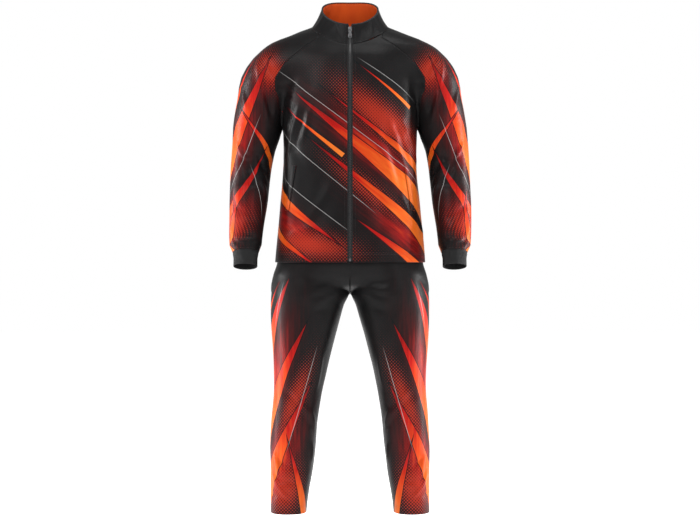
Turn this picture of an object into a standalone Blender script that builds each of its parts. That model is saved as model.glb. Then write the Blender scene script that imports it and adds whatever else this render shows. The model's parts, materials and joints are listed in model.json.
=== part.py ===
"""A tracksuit in its worn, hollow form: a raglan jacket with a stand collar and an open-end zip,
over tapered trousers. Metres, +Z up, the front faces -Y, the wearer's left side is +X.
The origin lies at the neck, between the shoulders."""

import math

import bmesh
import bpy
import numpy as np
from mathutils import Matrix

# Cloth and seams
CLOTH = 0.0015
RIB_CLOTH = 0.0020
SEAM_GAP = 0.0003
MIRROR = np.array([-1.0, 1.0, 1.0])

# Lengths of the jacket and the trousers
JACKET_HEM_Z = -0.717
WAIST_TOP_Z = -0.552
WAISTBAND_END_Z = -0.592
TROUSER_HEM_Z = -1.478

# Jacket body: level sections from the hem up to the neck.
# z, half_width, front_depth, back_depth, squareness
TORSO_SECTIONS = (
    (-0.760, 0.2300, 0.139, 0.148, 2.5),
    (-0.717, 0.2280, 0.138, 0.147, 2.5),
    (-0.650, 0.2225, 0.135, 0.142, 2.5),
    (-0.550, 0.2130, 0.128, 0.133, 2.6),
    (-0.450, 0.2040, 0.124, 0.122, 2.7),
    (-0.380, 0.2025, 0.124, 0.120, 2.8),
    (-0.300, 0.2040, 0.126, 0.124, 2.8),
    (-0.220, 0.2020, 0.125, 0.128, 2.7),
    (-0.150, 0.2050, 0.117, 0.127, 2.5),
    (-0.100, 0.2180, 0.106, 0.120, 2.3),
    (-0.064, 0.2300, 0.090, 0.108, 2.2),
    (-0.046, 0.2080, 0.082, 0.101, 2.1),
    (-0.030, 0.1740, 0.073, 0.094, 2.1),
    (-0.015, 0.1430, 0.064, 0.086, 2.0),
    (0.003, 0.1100, 0.054, 0.077, 2.0),
    (0.030, 0.0950, 0.050, 0.070, 2.0),
)

# Arm: the middle line from inside the shoulder to the wrist, with half sizes across and in depth.
# x, y, z, half_width, half_depth
ARM_STATIONS = (
    (0.1450, 0.004, -0.100, 0.070, 0.070),
    (0.2150, 0.005, -0.130, 0.080, 0.076),
    (0.2530, 0.008, -0.180, 0.082, 0.081),
    (0.2700, 0.010, -0.241, 0.0745, 0.081),
    (0.2830, 0.010, -0.308, 0.0735, 0.079),
    (0.2950, 0.008, -0.369, 0.0660, 0.073),
    (0.3030, 0.003, -0.436, 0.0620, 0.067),
    (0.3090, -0.012, -0.528, 0.0590, 0.062),
    (0.3140, -0.030, -0.604, 0.0525, 0.056),
    (0.3155, -0.0405, -0.650, 0.0495, 0.0525),
    (0.3155, -0.0460, -0.675, 0.0478, 0.0505),
    (0.3150, -0.0490, -0.686, 0.0400, 0.0430),
    (0.3150, -0.0515, -0.696, 0.0362, 0.0395),
    (0.3150, -0.0570, -0.718, 0.0362, 0.0395),
    (0.3150, -0.0640, -0.745, 0.0362, 0.0395),
)
SHOULDER_BLEND = (-0.250, -0.150, 0.010, 0.042)  # low z, high z, radius below, radius above

# Trousers above the crotch: level sections. z, half_width, front_depth, back_depth, squareness
HIP_SECTIONS = (
    (-0.807, 0.2300, 0.012, 0.020, 2.2),
    (-0.800, 0.2330, 0.045, 0.060, 2.2),
    (-0.785, 0.2350, 0.085, 0.098, 2.3),
    (-0.755, 0.2310, 0.116, 0.126, 2.4),
    (-0.723, 0.2225, 0.127, 0.136, 2.4),
    (-0.660, 0.2130, 0.124, 0.131, 2.4),
    (-0.600, 0.2040, 0.118, 0.124, 2.4),
    (-0.540, 0.1970, 0.113, 0.118, 2.4),
)

# One leg: level sections. z, middle_x, middle_y, half_width, half_depth
LEG_SECTIONS = (
    (-1.520, 0.1890, 0.010, 0.0553, 0.0630),
    (-1.478, 0.1878, 0.009, 0.0557, 0.0640),
    (-1.418, 0.1840, 0.008, 0.0590, 0.0665),
    (-1.345, 0.1775, 0.008, 0.0650, 0.0720),
    (-1.272, 0.1730, 0.006, 0.0695, 0.0765),
    (-1.199, 0.1680, 0.002, 0.0710, 0.0800),
    (-1.125, 0.1605, 0.000, 0.0730, 0.0850),
    (-1.052, 0.1525, 0.001, 0.0805, 0.0930),
    (-0.979, 0.1455, 0.003, 0.0910, 0.1020),
    (-0.906, 0.1375, 0.005, 0.1025, 0.1110),
    (-0.850, 0.1300, 0.006, 0.1110, 0.1180),
    (-0.810, 0.1205, 0.006, 0.1185, 0.1230),
    (-0.755, 0.1150, 0.005, 0.1080, 0.1170),
    (-0.710, 0.1080, 0.005, 0.0900, 0.1000),
    (-0.640, 0.1000, 0.004, 0.0700, 0.0800),
    (-0.540, 0.0950, 0.003, 0.0600, 0.0700),
)
HIP_BLEND = 0.022
CROTCH_BLEND = 0.006

# Collar: the loops where it is sewn on and where it ends, with psi = 0 at the front.
# half_width, front_depth, back_depth, front_drop, back_z, rise_power
NECK_LOOP = (0.1067, 0.086, 0.075, 0.072, 0.008, 2.3)
RIM_LOOP = (0.0862, 0.076, 0.066, 0.088, 0.084, 1.5)
COLLAR_MIDDLE_OUT = -0.0022
COLLAR_ROWS = 3

# Raglan seams from the neck to the armpit, as seen from the front and from behind. x, z
FRONT_RAGLAN = (
    (0.0885, -0.0370),
    (0.1408, -0.0727),
    (0.1916, -0.1164),
    (0.2186, -0.1520),
    (0.2258, -0.1693),
    (0.2239, -0.1981),
    (0.2130, -0.2250),
)
BACK_RAGLAN = (
    (0.0760, -0.0020),
    (0.1260, -0.0480),
    (0.1760, -0.0990),
    (0.2080, -0.1450),
    (0.2180, -0.1750),
    (0.2180, -0.2000),
    (0.2110, -0.2250),
)
RAGLAN_END_FRONT = math.radians(56)
RAGLAN_END_BACK = math.radians(135)

# Panel grids
BODY_ROWS_LOW = 14
RAGLAN_ROWS = 9
FRONT_COLUMNS = 9
BACK_COLUMNS = 8
SLEEVE_ROWS_LOW = 17
SLEEVE_COLUMNS = 16
LEG_ROWS = 24
HIP_ROWS = 8
LEG_COLUMNS = 8
CUFF_ROWS = 2
NECK_ARM_SHARE = 0.06  # where on the arm's line the sleeve's last row turns
EVEN_ROWS = 0.6  # how far the sleeve's top rows are spaced evenly, against by their seams

# Zip and pocket details
ZIP_HALF_OPEN = 0.0085
ZIP_CHAIN_HALF = 0.0029
ZIP_TAPE = (0.0032, 0.0150)  # from, to, measured from the middle
ZIP_CHAIN_DEPTH = (-0.0008, -0.0040)
ZIP_TAPE_DEPTH = (-0.0026, -0.0034)
ZIP_START_ABOVE_HEM = 0.003
LINING_FROM_MIDDLE = 0.0156
SLIDER_BELOW_TOP = 0.008
WELT_TOP = (0.167, -0.429)
WELT_END = (0.188, -0.562)
WELT_WIDTH = 0.014
WELT_ROWS = 7

# Zip slider and pull tab. Heights are measured outwards from the cloth's face.
SLIDER_WIDTH = 0.0100
SLIDER_LENGTH = 0.0120
SLIDER_PLATE = (-0.0003, 0.0022)
ARCH_WIDTH = 0.0024
ARCH_LENGTH = 0.0090
ARCH_TOP = 0.0064
HINGE_OUT = 0.0039
PULL_BAR = 0.0016
PULL_WIDTH = 0.0110
PULL_LENGTH = 0.0300
PULL_WINDOW = (0.0052, 0.0062)  # width, length
PULL_HOLE = (0.0044, 0.0052)
HINGE_TO_WINDOW = 0.0008
ZIP_BOX_DEPTH = 0.0036

# Where each cuff starts on its arm, and how long it is
CUFF_LENGTH = 0.044
CUFF_TOP_Z = -0.687


def smooth_columns(rows, at):
    """The columns of a table beside its first one, read at any values of the first, with smooth joins."""
    table = np.array(rows, float)
    x, y = table[:, 0], table[:, 1:]
    step = np.diff(x)[:, None]
    slope = np.diff(y, axis=0) / step
    tangent = np.zeros_like(y)
    same = slope[:-1] * slope[1:] > 0
    weight = step[:-1] + step[1:]
    middle = slope[:-1] * slope[1:] * weight
    under = slope[1:] * step[:-1] + slope[:-1] * step[1:]
    tangent[1:-1] = np.where(same, middle / np.where(same, under, 1), 0)
    tangent[0], tangent[-1] = slope[0], slope[-1]
    at = np.clip(at, x[0], x[-1])
    low = np.clip(np.searchsorted(x, at) - 1, 0, len(x) - 2)
    h = step[low]
    t = ((at - x[low]) / h[:, 0])[:, None]
    start = (1 + 2 * t) * (1 - t) ** 2 * y[low] + t * (1 - t) ** 2 * h * tangent[low]
    end = t * t * (3 - 2 * t) * y[low + 1] + t * t * (t - 1) * h * tangent[low + 1]
    return (start + end).T


def unit(v):
    return v / np.maximum(np.linalg.norm(v, axis=-1, keepdims=True), 1e-12)


def curve_through(points, count):
    """A smooth line through the points, as count points evenly far apart."""
    points = np.array(points, float)
    length = np.concatenate([[0], np.cumsum(np.linalg.norm(np.diff(points[:, :3], axis=0), axis=1))])
    fine = np.linspace(0, length[-1], 40 * len(points))
    line = smooth_columns(np.column_stack([length, points]), fine).T
    far = np.concatenate([[0], np.cumsum(np.linalg.norm(np.diff(line[:, :3], axis=0), axis=1))])
    even = np.linspace(0, far[-1], count)
    return np.column_stack([np.interp(even, far, column) for column in line.T])


def smooth_min(a, b, radius):
    reach = np.maximum(radius - np.abs(a - b), 0) / radius
    return np.minimum(a, b) - reach * reach * radius / 4


def level_section(x, y, half_width, front, back, power):
    """Signed distance, about, from a level section with unlike front and back depths."""
    depth = np.where(y < 0, front, back)
    ratio = (np.abs(x / half_width) ** power + np.abs(y / depth) ** power) ** (1 / power)
    return np.hypot(x, y) * (1 - 1 / np.maximum(ratio, 1e-6))


ARM_LINE = curve_through(ARM_STATIONS, 36)


def arm_field(p):
    """Signed distance, about, from the arm on the +X side."""
    start, step = ARM_LINE[:-1], np.diff(ARM_LINE, axis=0)
    along = unit(step[:, :3])
    best = np.full(len(p), 1e9)
    value = np.zeros(len(p))
    for k in range(len(start)):
        share = (p - start[k, :3]) @ step[k, :3] / (step[k, :3] @ step[k, :3])
        share = np.clip(share, 0, 1)[:, None]
        station = start[k] + share * step[k]
        off = p - station[:, :3]
        far = (off * off).sum(axis=1)
        side = np.array([-along[k, 2], 0, along[k, 0]])
        side = side / np.linalg.norm(side)
        across = off @ side
        depth2 = np.maximum(far - across**2, 0)
        ratio = np.sqrt(across**2 / station[:, 3] ** 2 + depth2 / station[:, 4] ** 2)
        near = far < best
        best = np.where(near, far, best)
        value = np.where(near, np.sqrt(far) * (1 - 1 / np.maximum(ratio, 1e-6)), value)
    return value


def jacket_field(p):
    x, y, z = np.abs(p[:, 0]), p[:, 1], p[:, 2]
    torso = level_section(x, y, *smooth_columns(TORSO_SECTIONS, z))
    arm = arm_field(np.column_stack([x, y, z]))
    low, high, tight, wide = SHOULDER_BLEND
    share = np.clip((z - low) / (high - low), 0, 1)
    return smooth_min(torso, arm, tight + (wide - tight) * share * share * (3 - 2 * share))


def trouser_field(p):
    x, y, z = p[:, 0], p[:, 1], p[:, 2]
    hip = level_section(x, y, *smooth_columns(HIP_SECTIONS, z))
    hip = np.where(z < HIP_SECTIONS[0][0], hip + (HIP_SECTIONS[0][0] - z) * 2, hip)
    middle_x, middle_y, half_width, half_depth = smooth_columns(LEG_SECTIONS, z)
    legs = []
    for side in (-1, 1):
        legs.append(
            level_section(side * x - middle_x, y - middle_y, half_width, half_depth, half_depth, 2.2)
        )
    return smooth_min(smooth_min(*legs, CROTCH_BLEND), hip, HIP_BLEND)


def normals(field, p):
    """Outward directions of the form at the points."""
    h = 5e-4
    flat = p.reshape(-1, 3)
    found = [field(flat + h * axis) - field(flat - h * axis) for axis in np.eye(3)]
    return unit(np.column_stack(found)).reshape(p.shape)


def cast(field, origin, direction, reach=0.45, steps=60):
    """The first place where a ray from inside leaves the form."""
    shape = np.broadcast_shapes(np.shape(origin), np.shape(direction))
    start = np.broadcast_to(origin, shape).reshape(-1, 3)
    way = unit(np.broadcast_to(direction, shape).reshape(-1, 3))
    low = np.zeros(len(start))
    high = np.full(len(start), reach)
    waiting = np.ones(len(start), bool)
    for k in range(1, steps + 1):
        far = reach * k / steps
        out = waiting.copy()
        out[waiting] = field(start[waiting] + far * way[waiting]) > 0
        high[out] = far
        low[out] = far - reach / steps
        waiting &= ~out
    for _ in range(16):
        middle = (low + high) / 2
        outside = field(start + middle[:, None] * way) > 0
        high = np.where(outside, middle, high)
        low = np.where(outside, low, middle)
    return (start + high[:, None] * way).reshape(shape)


def polar(points, centre, e0, e1):
    """Each point's turn about its centre, from e0 towards e1, and how far it leans out of that plane."""
    off = points - centre
    a, b = (off * e0).sum(axis=-1), (off * e1).sum(axis=-1)
    return np.arctan2(b, a), (off * np.cross(e0, e1)).sum(axis=-1) / np.hypot(a, b)


def fan(field, centre, e0, e1, turns, leans, shares):
    """Rows of points on the form, each row turning about its centre from its first to its last turn."""
    turn = turns[0][:, None] * (1 - shares) + turns[1][:, None] * shares
    lean = leans[0][:, None] * (1 - shares) + leans[1][:, None] * shares
    e0, e1, centre = e0[:, None], e1[:, None], centre[:, None]
    way = np.cos(turn)[..., None] * e0 + np.sin(turn)[..., None] * e1
    return cast(field, centre, way + lean[..., None] * np.cross(e0, e1))


def patch(field, centre, e0, e1, start, end, shares):
    """A fan whose rows begin and end at given points."""
    turn0, lean0 = polar(start, centre, e0, e1)
    turn1, lean1 = polar(end, centre, e0, e1)
    rows = fan(field, centre, e0, e1, (turn0, turn1), (lean0, lean1), shares)
    rows[:, 0], rows[:, -1] = start, end
    return rows


def level_patch(field, centre, e0, e1, start, end, shares):
    same = np.ones((len(start), 1))
    return patch(field, centre, same * np.array(e0), same * np.array(e1), start, end, shares)


def from_middle(field, x, z, y_sign, y_from=0.0):
    """Points of the form seen at (x, z) from the front (y_sign -1) or from behind (+1)."""
    x, z = np.broadcast_arrays(np.asarray(x, float), np.asarray(z, float))
    origin = np.column_stack([x.ravel(), np.full(x.size, y_from), z.ravel()])
    return cast(field, origin, np.array([0.0, y_sign, 0.0]))


def loop_point(loop, psi):
    half_width, front, back, drop, back_z, power = loop
    psi = np.asarray(psi, float)
    depth = np.where(np.cos(psi) > 0, front, back)
    level = back_z - drop * ((1 + np.cos(psi)) / 2) ** power
    return np.stack([half_width * np.sin(psi), -depth * np.cos(psi), level], axis=-1)


def neck_points(psi):
    inside = np.array([0.0, 0.0, -0.10])
    return cast(jacket_field, inside, loop_point(NECK_LOOP, psi) - inside)


def armpit_point():
    """The lowest point where sleeve and body still join, midway between front and back."""
    x = np.linspace(0.18, 0.26, 81)
    for z in np.arange(-0.22, -0.36, -0.0005):
        value = jacket_field(np.column_stack([x, np.zeros_like(x), np.full_like(x, z)]))
        if value.max() > 0:
            return np.array([x[value.argmax()], 0.0, z])


def raglan_seam(seen, y_sign, neck_end, armpit):
    """Points from the armpit up to the neck along a raglan seam."""
    seen = np.array(seen)
    top_down = np.vstack([seen, [[armpit[0], armpit[2]]]])
    line = curve_through(np.column_stack([top_down[:, 0], 0 * top_down[:, 0], top_down[:, 1]]), 40)
    points = from_middle(jacket_field, line[:, 0], line[:, 2], y_sign)
    points[0], points[-1] = neck_end, armpit
    return curve_through(points[::-1], RAGLAN_ROWS + 1)


def shares_of(columns):
    return np.linspace(0, 1, columns + 1)


def jacket_panels():
    """The outer points of the +X half: front, half of the back, and sleeve."""
    armpit = armpit_point()
    front_psi = math.asin(ZIP_HALF_OPEN / NECK_LOOP[0])
    front_top = neck_points(front_psi + (RAGLAN_END_FRONT - front_psi) * shares_of(FRONT_COLUMNS))
    back_top = neck_points(math.pi + (RAGLAN_END_BACK - math.pi) * shares_of(BACK_COLUMNS))
    sleeve_turn = RAGLAN_END_BACK - RAGLAN_END_FRONT
    sleeve_top = neck_points(RAGLAN_END_FRONT + sleeve_turn * shares_of(SLEEVE_COLUMNS))
    seams = {
        -1: raglan_seam(FRONT_RAGLAN, -1, front_top[-1], armpit),
        1: raglan_seam(BACK_RAGLAN, 1, back_top[-1], armpit),
    }
    low_z = np.linspace(JACKET_HEM_Z, armpit[2], BODY_ROWS_LOW + 1)
    side = cast(jacket_field, np.column_stack([0 * low_z, 0 * low_z, low_z]), np.array([1.0, 0, 0]))
    side[-1] = armpit
    panels = {}
    for name, y_sign, middle_x, top, columns in (
        ("front", -1, ZIP_HALF_OPEN, front_top, FRONT_COLUMNS),
        ("back", 1, 0.0, back_top, BACK_COLUMNS),
    ):
        seam = seams[y_sign]
        rise = (seam[:, 2] - armpit[2]) / (seam[-1, 2] - armpit[2])
        middle_z = np.concatenate([low_z, (armpit[2] + rise * (top[0, 2] - armpit[2]))[1:]])
        start = from_middle(jacket_field, middle_x, middle_z, y_sign)
        end = np.vstack([side, seam[1:]])
        start[-1] = top[0]
        centre = np.column_stack([0 * middle_z, 0 * middle_z, np.minimum(middle_z, -0.09)])
        rows = level_patch(
            jacket_field, centre, (0, y_sign, 0), (1, 0, 0), start, end, shares_of(columns)
        )
        rows[-1] = top
        panels[name] = rows
    panels["sleeve"] = sleeve_rows(seams, armpit, sleeve_top)
    return panels


def arm_frame(shares):
    """Middle, direction, underarm direction and front direction of the arm at shares of its line."""
    place = np.clip(np.asarray(shares, float), 0, 1) * (len(ARM_LINE) - 1)
    columns = [np.interp(place, np.arange(len(ARM_LINE)), c) for c in ARM_LINE.T[:3]]
    middle = np.stack(columns, axis=-1)
    slopes = np.gradient(ARM_LINE[:, :3], axis=0)
    way = unit(np.stack([np.interp(place, np.arange(len(ARM_LINE)), c) for c in slopes.T], axis=-1))
    under = unit(np.stack([way[:, 2], 0 * way[:, 2], -way[:, 0]], axis=-1))
    return middle, way, under, np.cross(under, way)


def share_at_z(z):
    return np.interp(-np.asarray(z), -ARM_LINE[:, 2], np.linspace(0, 1, len(ARM_LINE)))


def nearest_share(points):
    shares = np.linspace(0, 1, 400)
    line = arm_frame(shares)[0]
    off = points[:, None, :] - line[None]
    return shares[(off * off).sum(axis=2).argmin(axis=1)]


def sleeve_rows(seams, armpit, top):
    """From the cuff seam up: whole rings below the armpit, then rows between the raglan seams."""
    cuff, pit = share_at_z([CUFF_TOP_Z, armpit[2]])
    low = cuff + (pit - cuff) * np.linspace(0, 1, SLEEVE_ROWS_LOW + 1)[:-1] ** 0.9
    shares = shares_of(SLEEVE_COLUMNS)
    middle, _, under, front = arm_frame(low)
    none, whole = np.zeros(len(low)), np.full(len(low), 2 * math.pi)
    rings = fan(jacket_field, middle, under, front, (none, whole), (none, none), shares)
    rings[:, -1] = rings[:, 0]
    start, end = seams[-1], seams[1]
    near = (nearest_share(start) + nearest_share(end)) / 2
    near = np.minimum.accumulate(np.minimum(near, pit))
    near = np.linspace(near[0], NECK_ARM_SHARE, len(near)) * EVEN_ROWS + near * (1 - EVEN_ROWS)
    middle, _, under, front = arm_frame(near)
    turn0, lean0 = polar(start, middle, under, front)
    turn1, lean1 = polar(end, middle, under, front)
    turn0[0], turn1[0] = 0, 0
    turn1 = np.where(turn1 <= 0, turn1 + 2 * math.pi, turn1)
    rows = fan(jacket_field, middle, under, front, (turn0, turn1), (lean0, lean1), shares)
    rows[:, 0], rows[:, -1] = start, end
    rows[-1] = top
    return np.vstack([rings, rows])


def trouser_panels():
    """The outer points of the +X leg's front and back, from the hem up to the waistband."""
    crotch = cast(trouser_field, np.array([[0.0, 0.012, -0.72]]), np.array([0.0, 0, -1.0]))[0]
    crotch[2] -= 0.0004
    low_z = np.linspace(TROUSER_HEM_Z, crotch[2], LEG_ROWS + 1)
    high_z = np.linspace(crotch[2], WAISTBAND_END_Z - SEAM_GAP, HIP_ROWS + 1)[1:]
    z = np.concatenate([low_z, high_z])
    leg_x, leg_y = smooth_columns(LEG_SECTIONS, z)[:2]
    middle = np.column_stack([leg_x, leg_y, z])
    outer = cast(trouser_field, middle, np.array([1.0, 0, 0]))
    inner = cast(trouser_field, middle[:LEG_ROWS], np.array([-1.0, 0, 0]))
    inner = np.vstack([inner, crotch])
    panels = {}
    for name, y_sign in (("front", -1), ("back", 1)):
        rise = from_middle(trouser_field, 0 * high_z, high_z, y_sign)
        start = np.vstack([inner, rise])
        panels[name] = level_patch(
            trouser_field, middle, (-1, 0, 0), (0, y_sign, 0), start, outer, shares_of(LEG_COLUMNS)
        )
    return panels


# Largest folds. Each runs along a soft bend between three places and swells or sinks the wall.
# On the body and the trousers a place is x, z seen from the front or from behind.
# side, from_x, from_z, by_x, by_z, to_x, to_z, width, height
JACKET_FOLDS = (
    ("front", 0.196, -0.285, 0.165, -0.300, 0.110, -0.335, 0.016, -0.0045),
    ("front", 0.198, -0.310, 0.170, -0.345, 0.120, -0.420, 0.018, -0.0035),
    ("front", 0.190, -0.222, 0.165, -0.212, 0.120, -0.190, 0.020, -0.0030),
    ("front", -0.196, -0.280, -0.160, -0.290, -0.105, -0.320, 0.016, -0.0045),
    ("front", -0.199, -0.320, -0.175, -0.365, -0.130, -0.450, 0.018, -0.0035),
    ("front", -0.188, -0.218, -0.160, -0.204, -0.118, -0.188, 0.020, -0.0030),
    ("front", 0.060, -0.480, 0.095, -0.540, 0.110, -0.640, 0.024, -0.0030),
    ("front", -0.070, -0.430, -0.100, -0.520, -0.105, -0.650, 0.024, -0.0030),
    ("front", 0.190, -0.600, 0.150, -0.625, 0.090, -0.630, 0.018, 0.0030),
    ("front", -0.190, -0.590, -0.150, -0.612, -0.100, -0.622, 0.018, 0.0030),
    ("back", 0.190, -0.275, 0.140, -0.300, 0.060, -0.330, 0.020, -0.0050),
    ("back", -0.190, -0.280, -0.135, -0.310, -0.050, -0.345, 0.020, -0.0050),
    ("back", 0.170, -0.480, 0.090, -0.455, 0.000, -0.470, 0.022, -0.0050),
    ("back", -0.175, -0.520, -0.100, -0.500, -0.010, -0.515, 0.022, -0.0045),
    ("back", 0.150, -0.570, 0.080, -0.552, -0.030, -0.560, 0.020, 0.0040),
    ("back", 0.070, -0.120, 0.080, -0.200, 0.075, -0.290, 0.022, -0.0035),
    ("back", -0.075, -0.125, -0.085, -0.210, -0.078, -0.300, 0.022, -0.0035),
)
TROUSER_FOLDS = (
    ("front", 0.035, -0.790, 0.070, -0.778, 0.125, -0.762, 0.020, -0.0035),
    ("front", 0.030, -0.822, 0.070, -0.838, 0.120, -0.868, 0.020, -0.0035),
    ("front", -0.035, -0.786, -0.075, -0.775, -0.130, -0.768, 0.020, -0.0035),
    ("front", -0.030, -0.826, -0.065, -0.848, -0.112, -0.885, 0.020, -0.0035),
    ("front", 0.200, -1.110, 0.165, -1.140, 0.120, -1.150, 0.015, -0.0035),
    ("front", -0.205, -1.100, -0.165, -1.130, -0.120, -1.135, 0.015, -0.0035),
    ("front", 0.215, -1.290, 0.180, -1.320, 0.135, -1.360, 0.016, -0.0045),
    ("front", 0.225, -1.400, 0.190, -1.375, 0.150, -1.390, 0.015, 0.0040),
    ("front", -0.215, -1.300, -0.175, -1.335, -0.135, -1.345, 0.016, -0.0045),
    ("front", -0.228, -1.385, -0.195, -1.395, -0.150, -1.420, 0.015, 0.0040),
    ("back", 0.030, -0.760, 0.080, -0.790, 0.160, -0.800, 0.018, -0.0055),
    ("back", -0.030, -0.765, -0.085, -0.795, -0.165, -0.798, 0.018, -0.0055),
    ("back", 0.040, -0.860, 0.100, -0.880, 0.190, -0.870, 0.018, -0.0045),
    ("back", -0.040, -0.855, -0.100, -0.880, -0.195, -0.880, 0.018, -0.0045),
    ("back", 0.110, -1.120, 0.165, -1.135, 0.215, -1.110, 0.016, -0.0055),
    ("back", -0.110, -1.125, -0.165, -1.145, -0.215, -1.125, 0.016, -0.0055),
    ("back", 0.115, -1.190, 0.165, -1.200, 0.215, -1.175, 0.016, -0.0045),
    ("back", -0.115, -1.185, -0.165, -1.205, -0.215, -1.190, 0.016, -0.0045),
    ("back", 0.130, -1.350, 0.180, -1.370, 0.225, -1.350, 0.016, -0.0040),
    ("back", -0.130, -1.345, -0.180, -1.375, -0.225, -1.360, 0.016, -0.0040),
)
# On a sleeve a place is a height on the arm and a turn in degrees, 0 under the arm, 90 in front,
# 180 outside and 270 behind. arm: 1 is +X, -1 is -X.
# arm, from_z, from_turn, by_z, by_turn, to_z, to_turn, width, height
SLEEVE_FOLDS = (
    (1, -0.380, 20, -0.405, 60, -0.400, 115, 0.014, -0.0050),
    (1, -0.430, 15, -0.450, 70, -0.430, 135, 0.014, -0.0060),
    (1, -0.480, 25, -0.490, 75, -0.515, 125, 0.013, -0.0045),
    (1, -0.455, 330, -0.460, 290, -0.440, 240, 0.015, 0.0050),
    (1, -0.560, 140, -0.590, 95, -0.600, 40, 0.013, -0.0040),
    (1, -0.640, 50, -0.655, 100, -0.645, 160, 0.011, -0.0045),
    (1, -0.650, 200, -0.660, 250, -0.648, 310, 0.011, -0.0045),
    (1, -0.250, 110, -0.330, 100, -0.400, 120, 0.018, -0.0040),
    (1, -0.300, 150, -0.380, 165, -0.450, 150, 0.018, -0.0030),
    (-1, -0.375, 20, -0.395, 70, -0.385, 120, 0.014, -0.0050),
    (-1, -0.420, 15, -0.445, 65, -0.435, 130, 0.014, -0.0060),
    (-1, -0.475, 30, -0.500, 80, -0.500, 135, 0.013, -0.0045),
    (-1, -0.450, 335, -0.465, 285, -0.445, 235, 0.015, 0.0050),
    (-1, -0.570, 145, -0.585, 90, -0.610, 45, 0.013, -0.0040),
    (-1, -0.642, 45, -0.658, 95, -0.642, 150, 0.011, -0.0045),
    (-1, -0.648, 205, -0.662, 255, -0.650, 315, 0.011, -0.0045),
    (-1, -0.245, 105, -0.320, 95, -0.395, 110, 0.018, -0.0040),
    (-1, -0.310, 155, -0.390, 160, -0.460, 145, 0.018, -0.0030),
)


def soft_bend(a, b, c, count=9):
    t = np.linspace(0, 1, count)[:, None]
    return (1 - t) ** 2 * a + 2 * t * (1 - t) * b + t * t * c


def body_folds(field, rows):
    found = []
    for side, x0, z0, x1, z1, x2, z2, width, height in rows:
        sign = -1 if side == "front" else 1
        ends = from_middle(field, (x0, x1, x2), (z0, z1, z2), sign)
        found.append((soft_bend(*ends), width, height))
    return found


def sleeve_folds():
    found = []
    for arm, z0, turn0, z1, turn1, z2, turn2, width, height in SLEEVE_FOLDS:
        z = soft_bend(*np.array([[z0], [z1], [z2]]))[:, 0]
        turn = np.radians(soft_bend(*np.array([[turn0], [turn1], [turn2]], float))[:, 0])
        middle, _, under, front = arm_frame(share_at_z(z))
        way = np.cos(turn)[:, None] * under + np.sin(turn)[:, None] * front
        line = cast(jacket_field, middle, way)
        found.append((line * [arm, 1, 1], width, height))
    return found


def fold_depth(points, folds):
    """How far the folds move the wall at each point, out or in."""
    flat = points.reshape(-1, 3)
    moved = np.zeros(len(flat))
    for line, width, height in folds:
        best = np.full(len(flat), 1e9)
        place = np.zeros(len(flat))
        for k in range(len(line) - 1):
            step = line[k + 1] - line[k]
            share = np.clip((flat - line[k]) @ step / (step @ step), 0, 1)
            off = flat - line[k] - share[:, None] * step
            far = (off * off).sum(axis=1)
            place = np.where(far < best, (k + share) / (len(line) - 1), place)
            best = np.minimum(best, far)
        fade = np.sin(math.pi * np.clip(place, 0, 1)) ** 0.8
        moved += height * np.exp(-best / width**2) * (0.15 + 0.85 * fade)
    return moved.reshape(points.shape[:-1])


def grid_faces(rows, columns, closed_rows=0):
    """Quads of a grid of points. In its first closed_rows rows, the last column is the first one."""

    def at(i, j):
        return i * columns + (0 if j == columns - 1 and i < closed_rows else j)

    quads = []
    for i in range(rows - 1):
        for j in range(columns - 1):
            quads.append((at(i, j), at(i, j + 1), at(i + 1, j + 1), at(i + 1, j)))
    return quads


def split_quads(points, quads):
    """Each quad as two triangles along its shorter diagonal, so that both sides of a wall agree."""
    triangles = []
    for a, b, c, d in quads:
        one = np.linalg.norm(points[a] - points[c])
        two = np.linalg.norm(points[b] - points[d])
        triangles += [(a, b, c), (a, c, d)] if one <= two else [(a, b, d), (b, c, d)]
    return [t for t in triangles if len(set(t)) == 3]


def wall(name, outer, inner, quads, paint):
    """A closed wall between an outer and an inner grid with the same faces."""
    outer, inner = outer.reshape(-1, 3), inner.reshape(-1, 3)
    faces = split_quads(outer, quads)
    count = len(outer)
    edges = {}
    for a, b, c in faces:
        for edge in ((a, b), (b, c), (c, a)):
            edges[edge] = edges.get(edge, 0) + 1
    rim = [edge for edge in edges if (edge[1], edge[0]) not in edges]
    body = list(faces)
    body += [(c + count, b + count, a + count) for a, b, c in faces]
    for a, b in rim:
        body += [(b, a, a + count), (b, a + count, b + count)]
    return add_object(name, np.vstack([outer, inner]), body, paint)


def add_object(name, points, faces, paint):
    used = sorted({v for face in faces for v in face})
    index = {v: k for k, v in enumerate(used)}
    mesh = bpy.data.meshes.new(name)
    mesh.from_pydata(
        [tuple(points[v]) for v in used], [], [tuple(index[v] for v in face) for face in faces]
    )
    made = bmesh.new()
    made.from_mesh(mesh)
    if made.calc_volume(signed=True) < 0:
        bmesh.ops.reverse_faces(made, faces=made.faces)
    made.to_mesh(mesh)
    made.free()
    mesh.materials.append(paint)
    mesh.shade_smooth()
    mesh.set_sharp_from_angle(angle=math.radians(50))
    obj = bpy.data.objects.new(name, mesh)
    bpy.context.scene.collection.objects.link(obj)
    return obj


def seam_back(points, edges):
    """Draws the named edges of a grid back from their seams by half the gap."""
    moved = points.copy()
    half = SEAM_GAP / 2
    if "first_row" in edges:
        moved[0] += half * unit(points[1] - points[0])
    if "last_row" in edges:
        moved[-1] += half * unit(points[-2] - points[-1])
    if "first_column" in edges:
        moved[:, 0] += half * unit(points[:, 1] - points[:, 0])
    if "last_column" in edges:
        moved[:, -1] += half * unit(points[:, -2] - points[:, -1])
    return moved


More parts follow.
